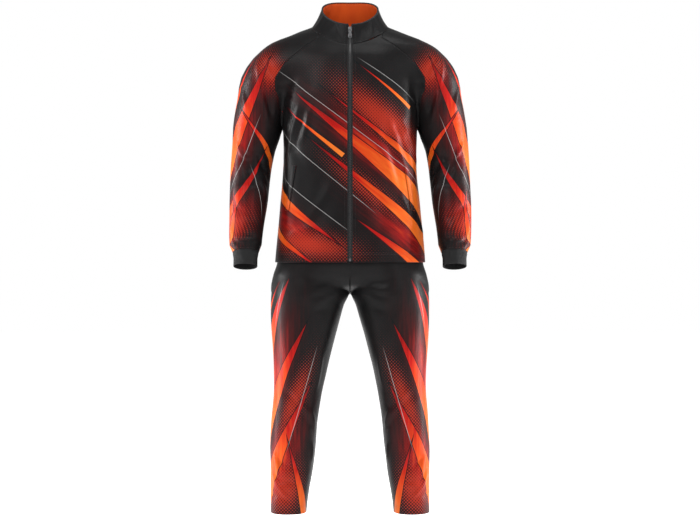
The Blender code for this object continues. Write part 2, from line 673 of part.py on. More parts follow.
def cloth_panel(name, field, points, folds, paint, edges, closed_rows=0):
    """A panel of cloth on the form, with its folds and its seam allowance of bare gap."""
    outward = normals(field, points)
    outer = points + fold_depth(points, folds)[..., None] * outward
    drawn = seam_back(outer, edges)
    if closed_rows:
        drawn[:closed_rows, 0] = outer[:closed_rows, 0]
        drawn[:closed_rows, -1] = outer[:closed_rows, -1]
        if "first_row" in edges:
            drawn[0] = outer[0] + SEAM_GAP / 2 * unit(outer[1] - outer[0])
    inner = drawn - CLOTH * outward
    rows, columns = points.shape[:2]
    return wall(name, drawn, inner, grid_faces(rows, columns, closed_rows), paint)


def paint(name, colour, roughness, metallic=0.0):
    material = bpy.data.materials.new(name)
    material.use_nodes = True
    shader = material.node_tree.nodes["Principled BSDF"]
    shader.inputs["Base Color"].default_value = (*colour, 1)
    shader.inputs["Roughness"].default_value = roughness
    shader.inputs["Metallic"].default_value = metallic
    return material


def make_jacket(black, folds):
    panels = jacket_panels()
    for side, sign in (("left", 1), ("right", -1)):
        mirror = np.array([sign, 1, 1])
        cloth_panel(
            f"jacket_front_{side}", jacket_field, panels["front"] * mirror, folds, black,
            ("last_row", "last_column"),
        )
        cloth_panel(
            f"sleeve_{side}", jacket_field, panels["sleeve"] * mirror, folds, black,
            ("first_row", "last_row", "first_column", "last_column"), SLEEVE_ROWS_LOW + 1,
        )
    half = panels["back"]
    whole = np.concatenate([half[:, ::-1] * MIRROR, half[:, 1:]], axis=1)
    cloth_panel(
        "jacket_back", jacket_field, whole, folds, black, ("last_row", "first_column", "last_column")
    )
    return panels


def make_cuffs(rib):
    """Rib-knit tubes from the sleeve ends to the wrists."""
    top = share_at_z(CUFF_TOP_Z)
    length = np.linalg.norm(np.diff(ARM_LINE[:, :3], axis=0), axis=1).sum()
    shares = np.linspace(top + SEAM_GAP / length, top + CUFF_LENGTH / length, CUFF_ROWS + 2)
    middle, _, under, front = arm_frame(shares)
    none, whole = np.zeros(len(shares)), np.full(len(shares), 2 * math.pi)
    around = shares_of(SLEEVE_COLUMNS)
    rings = fan(jacket_field, middle, under, front, (none, whole), (none, none), around)
    rings[:, -1] = rings[:, 0]
    quads = grid_faces(len(rings), len(around), len(rings))
    inner = rings - RIB_CLOTH * normals(jacket_field, rings)
    for side, sign in (("left", 1), ("right", -1)):
        mirror = np.array([sign, 1, 1])
        wall(f"cuff_{side}", rings * mirror, inner * mirror, quads, rib)


def collar_grid():
    """The collar's outer points, from one zip edge round the back to the other."""
    front_psi = math.asin(ZIP_HALF_OPEN / NECK_LOOP[0])
    half = np.concatenate([
        front_psi + (RAGLAN_END_FRONT - front_psi) * shares_of(FRONT_COLUMNS),
        RAGLAN_END_FRONT + (RAGLAN_END_BACK - RAGLAN_END_FRONT) * shares_of(SLEEVE_COLUMNS)[1:],
        RAGLAN_END_BACK + (math.pi - RAGLAN_END_BACK) * shares_of(BACK_COLUMNS)[1:],
    ])
    low = neck_points(half)
    high = loop_point(RIM_LOOP, half)
    high[0, 0] = ZIP_HALF_OPEN
    rows = []
    for t in np.linspace(0, 1, COLLAR_ROWS + 1):
        row = low * (1 - t) + high * t
        out = unit(row * [1, 1, 0])
        rows.append(row + COLLAR_MIDDLE_OUT * math.sin(math.pi * t) * out)
    grid = np.array(rows)
    grid[:, 0, 0] = ZIP_HALF_OPEN
    whole = np.concatenate([grid, (grid * MIRROR)[:, ::-1][:, 1:]], axis=1)
    return whole


def grid_normals(grid):
    """Outward directions of a grid that stands round the neck."""
    along = np.gradient(grid, axis=1)
    up = np.gradient(grid, axis=0)
    return unit(np.cross(along, up))


def make_collar(black, lining):
    grid = collar_grid()
    outward = grid_normals(grid)
    quads = grid_faces(*grid.shape[:2])
    outer = seam_back(grid, ("first_row",))
    wall("collar", outer, outer - CLOTH * outward, quads, black)
    inside = grid.copy()
    inside[0] = grid[0] * 0.9 + grid[1] * 0.1
    inside[-1] = grid[-1] * 0.98 + grid[-2] * 0.02
    for edge, beside in ((0, 1), (-1, -2)):
        step = inside[:, beside] - inside[:, edge]
        share = (LINING_FROM_MIDDLE - ZIP_HALF_OPEN) / np.abs(step[:, :1])
        inside[:, edge] += share * step
    face = inside - (CLOTH + SEAM_GAP) * outward
    wall("collar_lining", face, face - CLOTH * outward, quads, lining)
    return grid


def centre_line(front, collar):
    """The middle of the front from the hem to the collar's rim, as y, z, with outward directions."""
    line = np.vstack([front[:, 0], collar[1:, 0]])[:, 1:]
    start = ZIP_START_ABOVE_HEM
    line[0] += (line[1] - line[0]) * start / np.linalg.norm(line[1] - line[0])
    way = np.gradient(line, axis=0)
    out = unit(np.column_stack([-way[:, 1], way[:, 0]]))
    return line, out


def strip(name, line, out, x_range, depth, paint_of):
    """A long flat strip along the middle of the front, between two depths under the cloth's face."""
    x0, x1 = x_range
    corners = []
    for x, d in ((x0, depth[0]), (x1, depth[0]), (x1, depth[1]), (x0, depth[1])):
        place = line + d * out
        corners.append(np.column_stack([np.full(len(line), x), place]))
    ring = np.stack(corners, axis=1)
    count = len(line)
    points = ring.reshape(-1, 3)
    faces = []
    for i in range(count - 1):
        for j in range(4):
            a, b = 4 * i + j, 4 * i + (j + 1) % 4
            faces.append((a, b, b + 4, a + 4))
    last = 4 * (count - 1)
    faces += [(3, 2, 1, 0), (last, last + 1, last + 2, last + 3)]
    return add_object(name, points, faces, paint_of)


def block(name, size, matrix, paint_of):
    """A box of a size, placed by the columns right, out and up and a middle."""
    right, out, up, middle = matrix
    corners = []
    for sx, sy, sz in ((a, b, c) for a in (-1, 1) for b in (-1, 1) for c in (-1, 1)):
        corners.append(middle + sx * size[0] / 2 * right + sy * size[1] / 2 * out + sz * size[2] / 2 * up)
    faces = [(0, 1, 3, 2), (4, 6, 7, 5), (0, 4, 5, 1), (2, 3, 7, 6), (0, 2, 6, 4), (1, 5, 7, 3)]
    return add_object(name, np.array(corners), faces, paint_of)


def join(base, tool, operation):
    """Adds or cuts a helper shape, which stays out of the build."""
    tool.hide_render = True
    tool.display_type = "WIRE"
    change = base.modifiers.new(operation.title(), "BOOLEAN")
    change.operation = operation
    change.object = tool


def make_zip(panels, collar, metal, tape, chain):
    """Two tapes, the closed teeth, the slider near the top with its pull tab, and the box at the hem."""
    line, out = centre_line(panels["front"], collar)
    strip("zip_tape_left", line, out, ZIP_TAPE, ZIP_TAPE_DEPTH, tape)
    strip("zip_tape_right", line, out, (-ZIP_TAPE[1], -ZIP_TAPE[0]), ZIP_TAPE_DEPTH, tape)
    strip("zip_chain", line[1:-1], out[1:-1], (-ZIP_CHAIN_HALF, ZIP_CHAIN_HALF), ZIP_CHAIN_DEPTH, chain)
    right = np.array([1.0, 0, 0])
    at_top, outward = line[-1], unit(out[-2] + out[-1])
    up = np.array([0.0, -outward[1], outward[0]])
    up = up if up[2] > 0 else -up
    outward3 = np.array([0.0, *outward])
    place = np.array([0.0, *at_top]) - up * (SLIDER_BELOW_TOP + SLIDER_LENGTH / 2)
    thick = SLIDER_PLATE[1] - SLIDER_PLATE[0]
    frame = (right, outward3, up, place + outward3 * sum(SLIDER_PLATE) / 2)
    slider = block("zip_slider", (SLIDER_WIDTH, thick, SLIDER_LENGTH), frame, metal)
    arch_size = (ARCH_WIDTH, ARCH_TOP - SLIDER_PLATE[1] + 0.0004, ARCH_LENGTH)
    arch_at = place + outward3 * (ARCH_TOP + SLIDER_PLATE[1] - 0.0004) / 2
    join(slider, block("arch", arch_size, (right, outward3, up, arch_at), metal), "UNION")
    room = PULL_BAR + 0.0012
    hole_at = place + outward3 * HINGE_OUT
    hole = block("arch_hole", (ARCH_WIDTH * 3, room, room), (right, outward3, up, hole_at), metal)
    join(slider, hole, "DIFFERENCE")
    pull_at = hole_at - up * (PULL_LENGTH / 2 - PULL_BAR / 2)
    pull = block("zip_pull", (PULL_WIDTH, PULL_BAR, PULL_LENGTH), (right, outward3, up, pull_at), metal)
    window_at = hole_at - up * (HINGE_TO_WINDOW + PULL_WINDOW[1] / 2)
    window = (PULL_WINDOW[0], PULL_BAR * 3, PULL_WINDOW[1])
    join(pull, block("pull_window", window, (right, outward3, up, window_at), metal), "DIFFERENCE")
    low_at = hole_at - up * (PULL_LENGTH - PULL_HOLE[1] - 0.0018)
    low = (PULL_HOLE[0], PULL_BAR * 3, PULL_HOLE[1])
    join(pull, block("pull_hole", low, (right, outward3, up, low_at), metal), "DIFFERENCE")
    pull.data.transform(Matrix.Translation(tuple(-hole_at)))
    pull.location = hole_at
    foot = np.array([0.0, *line[0]])
    foot_out = np.array([0.0, *out[0]])
    foot_up = np.array([0.0, *unit(line[1] - line[0])])
    depth = (ZIP_CHAIN_DEPTH[0] + ZIP_CHAIN_DEPTH[1]) / 2
    box_length = np.linalg.norm(line[1] - line[0]) - SEAM_GAP
    box_at = foot + foot_out * depth + foot_up * box_length / 2
    size = (ZIP_CHAIN_HALF * 2, ZIP_BOX_DEPTH, box_length)
    block("zip_box", size, (right, foot_out, foot_up, box_at), metal)
    return hole_at


def make_welts(black, folds):
    """Slanted pocket welts, raised on the fronts."""
    share = np.linspace(0, 1, WELT_ROWS + 1)
    top, end = np.array(WELT_TOP), np.array(WELT_END)
    middle = top + (end - top) * share[:, None]
    grid = []
    for x_off in (-WELT_WIDTH / 2, 0, WELT_WIDTH / 2):
        grid.append(from_middle(jacket_field, middle[:, 0] + x_off * 0.8, middle[:, 1], -1))
    grid = np.stack(grid, axis=1)
    quads = grid_faces(*grid.shape[:2])
    for side, sign in (("left", 1), ("right", -1)):
        points = grid * np.array([sign, 1, 1])
        outward = normals(jacket_field, points)
        points = points + fold_depth(points, folds)[..., None] * outward
        face = points + (SEAM_GAP + CLOTH) * outward
        wall(f"pocket_welt_{side}", face, points + SEAM_GAP * outward, quads, black)


def make_trousers(black, folds):
    panels = trouser_panels()
    for side, sign in (("left", 1), ("right", -1)):
        mirror = np.array([sign, 1, 1])
        for name in ("front", "back"):
            cloth_panel(
                f"trousers_{name}_{side}", trouser_field, panels[name] * mirror, folds, black,
                ("last_row", "first_column", "last_column"),
            )


def make_waistband(rib):
    """A plain band round the trousers' top, under the jacket."""
    z = np.linspace(WAISTBAND_END_Z, WAIST_TOP_Z, 3)
    centre = np.column_stack([0 * z, 0 * z, z])
    e0, e1 = np.tile([0.0, -1, 0], (3, 1)), np.tile([1.0, 0, 0], (3, 1))
    none, whole = np.zeros(3), np.full(3, 2 * math.pi)
    around = shares_of(32)
    rings = fan(trouser_field, centre, e0, e1, (none, whole), (none, none), around)
    rings[:, -1] = rings[:, 0]
    inner = rings - RIB_CLOTH * normals(trouser_field, rings)
    wall("waistband", rings, inner, grid_faces(3, len(around), 3), rib)


def main():
    for obj in list(bpy.data.objects):
        bpy.data.objects.remove(obj)
    black = paint("charcoal_knit", (0.035, 0.036, 0.038), 0.75)
    rib = paint("black_rib", (0.018, 0.018, 0.019), 0.85)
    lining = paint("orange_lining", (0.75, 0.18, 0.02), 0.75)
    metal = paint("dark_metal", (0.12, 0.12, 0.13), 0.35, 1.0)
    tape = paint("black_tape", (0.012, 0.012, 0.013), 0.8)
    chain = paint("coil_chain", (0.05, 0.05, 0.055), 0.5)
    jacket_folds = body_folds(jacket_field, JACKET_FOLDS) + sleeve_folds()
    panels = make_jacket(black, jacket_folds)
    make_cuffs(rib)
    collar = make_collar(black, lining)
    make_zip(panels, collar, metal, tape, chain)
    make_welts(black, jacket_folds)
    make_trousers(black, body_folds(trouser_field, TROUSER_FOLDS))
    make_waistband(rib)


main()
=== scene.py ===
"""The looks of a tracksuit in its worn, hollow form: a raglan jacket with a stand collar and a zip,
over tapered trousers, in smooth printed knit. Metres, +Z up, the front faces -Y, the wearer's left is +X."""

import json
import math

import bpy
import numpy as np
from mathutils import Matrix, Vector


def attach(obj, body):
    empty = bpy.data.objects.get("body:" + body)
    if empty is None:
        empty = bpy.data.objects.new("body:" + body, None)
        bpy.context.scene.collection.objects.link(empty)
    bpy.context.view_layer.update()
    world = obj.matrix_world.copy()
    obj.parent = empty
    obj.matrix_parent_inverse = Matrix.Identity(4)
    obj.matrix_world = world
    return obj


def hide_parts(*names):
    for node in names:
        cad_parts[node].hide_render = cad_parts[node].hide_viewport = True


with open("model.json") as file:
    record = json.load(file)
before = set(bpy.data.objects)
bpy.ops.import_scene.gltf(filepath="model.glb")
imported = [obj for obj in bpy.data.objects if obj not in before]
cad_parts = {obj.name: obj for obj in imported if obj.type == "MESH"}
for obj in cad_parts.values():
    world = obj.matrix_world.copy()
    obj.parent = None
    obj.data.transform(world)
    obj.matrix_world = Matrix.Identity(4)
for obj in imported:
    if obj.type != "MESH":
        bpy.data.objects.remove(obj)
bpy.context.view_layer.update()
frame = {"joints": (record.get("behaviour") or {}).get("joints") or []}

# Cloth and seams
CLOTH = 0.0015
RIB_CLOTH = 0.0020
SEAM_GAP = 0.0003
MIRROR = np.array([-1.0, 1.0, 1.0])
SIDES = (("left", np.array([1.0, 1.0, 1.0])), ("right", MIRROR))

# Lengths of the jacket and the trousers
JACKET_HEM_Z = -0.717
WAIST_TOP_Z = -0.552
WAISTBAND_END_Z = -0.592
TROUSER_HEM_Z = -1.478

# Jacket body: level sections from the hem up to the neck.
# z, half_width, front_depth, back_depth, squareness
TORSO_SECTIONS = (
    (-0.760, 0.2300, 0.139, 0.148, 2.5),
    (-0.717, 0.2280, 0.138, 0.147, 2.5),
    (-0.650, 0.2225, 0.135, 0.142, 2.5),
    (-0.550, 0.2130, 0.128, 0.133, 2.6),
    (-0.450, 0.2040, 0.124, 0.122, 2.7),
    (-0.380, 0.2025, 0.124, 0.120, 2.8),
    (-0.300, 0.2040, 0.126, 0.124, 2.8),
    (-0.220, 0.2020, 0.125, 0.128, 2.7),
    (-0.150, 0.2050, 0.117, 0.127, 2.5),
    (-0.100, 0.2180, 0.106, 0.120, 2.3),
    (-0.064, 0.2300, 0.090, 0.108, 2.2),
    (-0.046, 0.2080, 0.082, 0.101, 2.1),
    (-0.030, 0.1740, 0.073, 0.094, 2.1),
    (-0.015, 0.1430, 0.064, 0.086, 2.0),
    (0.003, 0.1100, 0.054, 0.077, 2.0),
    (0.030, 0.0950, 0.050, 0.070, 2.0),
)

# Arm: the middle line from inside the shoulder to the wrist, with half sizes across and in depth.
# x, y, z, half_width, half_depth
ARM_STATIONS = (
    (0.1450, 0.004, -0.100, 0.070, 0.070),
    (0.2150, 0.005, -0.130, 0.080, 0.076),
    (0.2530, 0.008, -0.180, 0.082, 0.081),
    (0.2700, 0.010, -0.241, 0.0745, 0.081),
    (0.2830, 0.010, -0.308, 0.0735, 0.079),
    (0.2950, 0.008, -0.369, 0.0660, 0.073),
    (0.3030, 0.003, -0.436, 0.0620, 0.067),
    (0.3090, -0.012, -0.528, 0.0590, 0.062),
    (0.3140, -0.030, -0.604, 0.0525, 0.056),
    (0.3155, -0.0405, -0.650, 0.0495, 0.0525),
    (0.3155, -0.0460, -0.675, 0.0478, 0.0505),
    (0.3150, -0.0490, -0.686, 0.0400, 0.0430),
    (0.3150, -0.0515, -0.696, 0.0362, 0.0395),
    (0.3150, -0.0570, -0.718, 0.0362, 0.0395),
    (0.3150, -0.0640, -0.745, 0.0362, 0.0395),
)
SHOULDER_BLEND = (-0.250, -0.150, 0.010, 0.042)  # low z, high z, radius below, radius above

# Trousers above the crotch: level sections. z, half_width, front_depth, back_depth, squareness
HIP_SECTIONS = (
    (-0.807, 0.2300, 0.012, 0.020, 2.2),
    (-0.800, 0.2330, 0.045, 0.060, 2.2),
    (-0.785, 0.2350, 0.085, 0.098, 2.3),
    (-0.755, 0.2310, 0.116, 0.126, 2.4),
    (-0.723, 0.2225, 0.127, 0.136, 2.4),
    (-0.660, 0.2130, 0.124, 0.131, 2.4),
    (-0.600, 0.2040, 0.118, 0.124, 2.4),
    (-0.540, 0.1970, 0.113, 0.118, 2.4),
)

# One leg: level sections. z, middle_x, middle_y, half_width, half_depth
LEG_SECTIONS = (
    (-1.520, 0.1890, 0.010, 0.0553, 0.0630),
    (-1.478, 0.1878, 0.009, 0.0557, 0.0640),
    (-1.418, 0.1840, 0.008, 0.0590, 0.0665),
    (-1.345, 0.1775, 0.008, 0.0650, 0.0720),
    (-1.272, 0.1730, 0.006, 0.0695, 0.0765),
    (-1.199, 0.1680, 0.002, 0.0710, 0.0800),
    (-1.125, 0.1605, 0.000, 0.0730, 0.0850),
    (-1.052, 0.1525, 0.001, 0.0805, 0.0930),
    (-0.979, 0.1455, 0.003, 0.0910, 0.1020),
    (-0.906, 0.1375, 0.005, 0.1025, 0.1110),
    (-0.850, 0.1300, 0.006, 0.1110, 0.1180),
    (-0.810, 0.1205, 0.006, 0.1185, 0.1230),
    (-0.755, 0.1150, 0.005, 0.1080, 0.1170),
    (-0.710, 0.1080, 0.005, 0.0900, 0.1000),
    (-0.640, 0.1000, 0.004, 0.0700, 0.0800),
    (-0.540, 0.0950, 0.003, 0.0600, 0.0700),
)
LEG_SQUARENESS = 2.2
HIP_BLEND = 0.022
CROTCH_BLEND = 0.006
CROTCH_SEEN_FROM = (0.0, 0.012, -0.72)  # a place between the hips, above the crotch
CROTCH_DROP = 0.0004

# Collar: the loops where it is sewn on and where it ends, with psi = 0 at the front.
# half_width, front_depth, back_depth, front_drop, back_z, rise_power
NECK_LOOP = (0.1067, 0.086, 0.075, 0.072, 0.008, 2.3)
RIM_LOOP = (0.0862, 0.076, 0.066, 0.088, 0.084, 1.5)
COLLAR_MIDDLE_OUT = -0.0022
COLLAR_ROWS = 22

# Raglan seams from the neck to the armpit, as seen from the front and from behind. x, z
FRONT_RAGLAN = (
    (0.0885, -0.0370),
    (0.1408, -0.0727),
    (0.1916, -0.1164),
    (0.2186, -0.1520),
    (0.2258, -0.1693),
    (0.2239, -0.1981),
    (0.2130, -0.2250),
)
BACK_RAGLAN = (
    (0.0760, -0.0020),
    (0.1260, -0.0480),
    (0.1760, -0.0990),
    (0.2080, -0.1450),
    (0.2180, -0.1750),
    (0.2180, -0.2000),
    (0.2110, -0.2250),
)
RAGLAN_END_FRONT = math.radians(56)
RAGLAN_END_BACK = math.radians(135)
ARMPIT_X = (0.18, 0.26)
ARMPIT_Z = (-0.22, -0.36)
CHEST_TOP_Z = -0.09  # rows above it are cast from here

# Panel grids
BODY_ROWS_LOW = 96
RAGLAN_ROWS = 60
FRONT_COLUMNS = 62
BACK_COLUMNS = 62
SLEEVE_ROWS_LOW = 100
SLEEVE_COLUMNS = 104
LEG_ROWS = 138
HIP_ROWS = 40
LEG_COLUMNS = 60
CUFF_ROWS = 12
NECK_ARM_SHARE = 0.06  # where on the arm's line the sleeve's last row turns
EVEN_ROWS = 0.6  # how far the sleeve's top rows are spaced evenly, against by their seams

# Zip and pocket details
ZIP_HALF_OPEN = 0.0085
ZIP_CHAIN_HALF = 0.0029
ZIP_CHAIN_DEPTH = (-0.0008, -0.0040)
ZIP_START_ABOVE_HEM = 0.003
LINING_FROM_MIDDLE = 0.0156
SLIDER_BELOW_TOP = 0.008
WELT_TOP = (0.167, -0.429)
WELT_END = (0.188, -0.562)
WELT_WIDTH = 0.014
WELT_ROWS = 34

# Zip slider and pull tab, with places measured from the slider's middle on the cloth's face
SLIDER_WIDTH = 0.0100
SLIDER_LENGTH = 0.0120
ARCH_WIDTH = 0.0024
ARCH_LENGTH = 0.0090
HINGE_OUT = 0.0039
PULL_BAR = 0.0016
PULL_WIDTH = 0.0110
PULL_LENGTH = 0.0300
PULL_WINDOW = (0.0052, 0.0062)  # width, length
PULL_HOLE = (0.0044, 0.0052)
HINGE_TO_WINDOW = 0.0008

# Where each cuff starts on its arm, and how long it is
CUFF_LENGTH = 0.044
CUFF_TOP_Z = -0.687

# Shells, seams and small trim of the visible cloth
CLOSE_TO_SEAM = (0.30, 0.64)  # extra columns beside a seam, in shares of a column
NECK_LEAD = 0.18
HIP_END = 0.004  # how soon the hips end below their lowest section
SPIKE = 0.018  # a step between neighbours that no limb has
SEAM_ROLL = 0.0009
SEAM_ROLL_REACH = 0.0040
UNEVEN = (3, 0.085, 0.0010)  # seed, size, height
UNEVEN_COLLAR = (5, 0.06, 0.0005)
CALM_BY_ZIP = 0.035
ZIP_RIPPLE = 0.0009
RIPPLE_PITCH = 0.052
RIM_BULGE = 0.42  # of the cloth's thickness
FINE_STEPS = 900  # of a ray that has to find a narrow gap between limbs
CUFF_COLUMNS = 96
CUFF_RIBS = 110
RIB_STEPS = 6
RIB_HEIGHT = 0.00035
RIB_SINK = 0.0003  # also the height of the waistband's ribs
CUFF_PULL = (0.0009, 0.03, 0.10)  # how deep the seam pulls the cuff in, and where and how far along it
WAIST_ROWS = 9
WAIST_COLUMNS = 640
WAIST_RIBS = 160
BINDING = (0.0050, 0.0046)  # width across the rim, height
ZIP_STATIONS = 400
TEETH_FROM_FOOT = 0.0085
TEETH_BELOW_SLIDER = 0.006
# One tooth's outline. x, and z in tooth pitches
TOOTH_OUTLINE = (
    (0.00045, -0.25),
    (0.0026, -0.30),
    (0.0029, 0.0),
    (0.0026, 0.30),
    (0.00045, 0.25),
    (-0.0004, 0.0),
)
TOOTH_FATNESS = 1.25
TOOTH_CROWN = (0.0005, 0.8)  # height, size
TOOTH_SHARP = 40  # degrees from which an edge stays sharp
METAL_SHARP = 42
# The metal plates. Depths are thickness and bevel
SLIDER_FOOT = 0.66  # of the half width
SLIDER_HEAD = 1.5  # of the foot
SLIDER_CORNERS = (0.0016, 0.0020)
SLIDER_DEPTH = (0.0016, 0.0005)
SLIDER_OUT = 0.0016
ARCH_STEPS = 13
ARCH_FOOT_OUT = 0.0022
ARCH_RISE = 0.0038
ARCH_DEPTH = 0.0011
WINDOW_CORNER = 0.0014
HOLE_ABOVE_FOOT = 0.0018
PULL_BEVEL = 0.00045
BOX_HALF_HEIGHT = 0.0042
BOX_CORNER = 0.0008
BOX_DEPTH = (0.0032, 0.0006)
BOX_SUNK = 0.0022
WELT_COLUMNS = (-0.5, -0.42, -0.25, 0, 0.25, 0.42, 0.5)  # in widths
WELT_SLANT = 0.8
WELT_CROWN = 0.0005
TOOTH_PITCH = 0.00145
HEM_STITCHES = (0.0230, 0.0272)
TROUSER_HEM_OFFSET = -0.003
ZIP_STITCH = 0.0070
SEAM_STITCH = 0.0035
WELT_STITCH = 0.0013
WELT_END_STITCH = 0.0015
NECK_STITCH = 0.0022
LINING_STITCHES = (0.0042, 0.0068)
LINING_FOOT_STITCH = 0.0060
WAVY = 0.007  # how far a crease is moved on the other side

# Fine creases, seen from the front on the -X side, with the same columns as the largest folds
FINE_JACKET_FOLDS = (
    (-1, -0.2166, -0.198, -0.192, -0.174, -0.162, -0.186, 0.0073, -0.0065),
    (-1, -0.2135, -0.220, -0.195, -0.213, -0.177, -0.223, 0.0073, -0.0048),
    (-1, -0.2100, -0.238, -0.189, -0.259, -0.174, -0.287, 0.0098, -0.0054),
    (-1, -0.1525, -0.247, -0.165, -0.314, -0.189, -0.390, 0.0061, 0.0048),
    (-1, -0.1190, -0.253, -0.128, -0.305, -0.143, -0.360, 0.0061, 0.0039),
    (-1, -0.1370, -0.259, -0.146, -0.308, -0.165, -0.369, 0.0073, -0.0043),
    (-1, -0.2040, -0.412, -0.198, -0.467, -0.183, -0.543, 0.0085, -0.0043),
    (-1, -0.2105, -0.375, -0.183, -0.384, -0.153, -0.375, 0.0085, -0.0039),
    (-1, -0.1950, -0.650, -0.153, -0.625, -0.098, -0.613, 0.0122, 0.0039),
    (-1, -0.0610, -0.482, -0.085, -0.543, -0.128, -0.595, 0.0134, 0.0034),
    (-1, 0.1920, -0.183, 0.2135, -0.176, 0.2196, -0.201, 0.0073, -0.0065),
    (-1, 0.2000, -0.232, 0.203, -0.245, 0.206, -0.256, 0.0085, -0.0054),
    (-1, 0.1180, -0.290, 0.143, -0.375, 0.171, -0.458, 0.0073, 0.0048),
    (-1, 0.1556, -0.290, 0.180, -0.354, 0.201, -0.421, 0.0061, 0.0043),
    (-1, 0.0820, -0.342, 0.113, -0.421, 0.140, -0.503, 0.0110, 0.0048),
    (-1, 0.1460, -0.512, 0.165, -0.543, 0.180, -0.573, 0.0073, 0.0039),
    (-1, 0.1370, -0.300, 0.162, -0.375, 0.186, -0.451, 0.0073, -0.0043),
    (-1, 0.1000, -0.308, 0.128, -0.400, 0.153, -0.485, 0.0098, -0.0043),
    (-1, 0.2070, -0.583, 0.217, -0.613, 0.220, -0.650, 0.0073, 0.0039),
    (1, -0.2050, -0.215, -0.180, -0.235, -0.130, -0.240, 0.0085, -0.0062),
    (1, -0.2000, -0.250, -0.165, -0.285, -0.115, -0.320, 0.0098, -0.0053),
    (1, -0.1650, -0.170, -0.150, -0.240, -0.155, -0.330, 0.0098, 0.0043),
    (1, -0.1900, -0.400, -0.130, -0.430, -0.060, -0.425, 0.0110, -0.0053),
    (1, -0.1850, -0.545, -0.120, -0.560, -0.040, -0.545, 0.0110, 0.0048),
    (1, -0.2000, -0.640, -0.150, -0.625, -0.080, -0.640, 0.0122, 0.0039),
    (1, 0.2050, -0.205, 0.175, -0.222, 0.120, -0.236, 0.0085, -0.0057),
    (1, 0.2010, -0.262, 0.160, -0.300, 0.120, -0.345, 0.0098, -0.0057),
    (1, 0.1600, -0.180, 0.148, -0.260, 0.160, -0.350, 0.0098, 0.0039),
    (1, 0.1850, -0.430, 0.120, -0.415, 0.050, -0.440, 0.0110, -0.0048),
    (1, 0.0300, -0.500, 0.090, -0.515, 0.170, -0.500, 0.0110, 0.0048),
    (1, 0.1950, -0.655, 0.130, -0.640, 0.060, -0.655, 0.0122, 0.0039),
)
FINE_ARM_FOLDS = (
    (-1, -0.2605, -0.110, -0.250, -0.134, -0.235, -0.168, 0.0098, -0.0087),
    (-1, -0.2775, -0.107, -0.273, -0.146, -0.271, -0.186, 0.0073, 0.0054),
    (-1, -0.2680, -0.198, -0.259, -0.238, -0.247, -0.287, 0.0073, 0.0048),
    (-1, -0.2560, -0.192, -0.244, -0.238, -0.235, -0.277, 0.0110, -0.0077),
    (-1, -0.3290, -0.180, -0.323, -0.217, -0.311, -0.259, 0.0085, 0.0043),
    (-1, -0.3447, -0.351, -0.333, -0.381, -0.314, -0.406, 0.0061, 0.0048),
    (-1, -0.3170, -0.406, -0.305, -0.442, -0.287, -0.488, 0.0085, -0.0065),
    (-1, -0.2775, -0.397, -0.262, -0.424, -0.246, -0.470, 0.0098, -0.0065),
    (-1, -0.3355, -0.406, -0.305, -0.415, -0.281, -0.406, 0.0098, -0.0054),
    (-1, -0.2680, -0.467, -0.257, -0.497, -0.253, -0.528, 0.0073, 0.0048),
    (-1, -0.3600, -0.528, -0.326, -0.567, -0.290, -0.595, 0.0122, -0.0054),
    (-1, -0.3600, -0.573, -0.357, -0.613, -0.354, -0.650, 0.0098, 0.0039),
    (-1, -0.3540, -0.644, -0.341, -0.662, -0.317, -0.659, 0.0073, -0.0065),
    (-1, -0.3200, -0.628, -0.299, -0.643, -0.281, -0.637, 0.0073, -0.0048),
    (-1, -0.2990, -0.662, -0.284, -0.653, -0.272, -0.638, 0.0061, -0.0043),
    (1, -0.2600, -0.120, -0.252, -0.150, -0.240, -0.185, 0.0110, -0.0077),
    (1, -0.3300, -0.190, -0.318, -0.250, -0.300, -0.310, 0.0098, 0.0048),
    (1, -0.2550, -0.390, -0.290, -0.402, -0.330, -0.395, 0.0098, -0.0065),
    (1, -0.2600, -0.425, -0.300, -0.445, -0.340, -0.435, 0.0098, 0.0057),
    (1, -0.2650, -0.470, -0.295, -0.478, -0.335, -0.470, 0.0085, -0.0053),
    (1, -0.3400, -0.560, -0.315, -0.590, -0.280, -0.600, 0.0110, -0.0048),
    (1, -0.3450, -0.650, -0.315, -0.662, -0.285, -0.650, 0.0073, -0.0057),
)
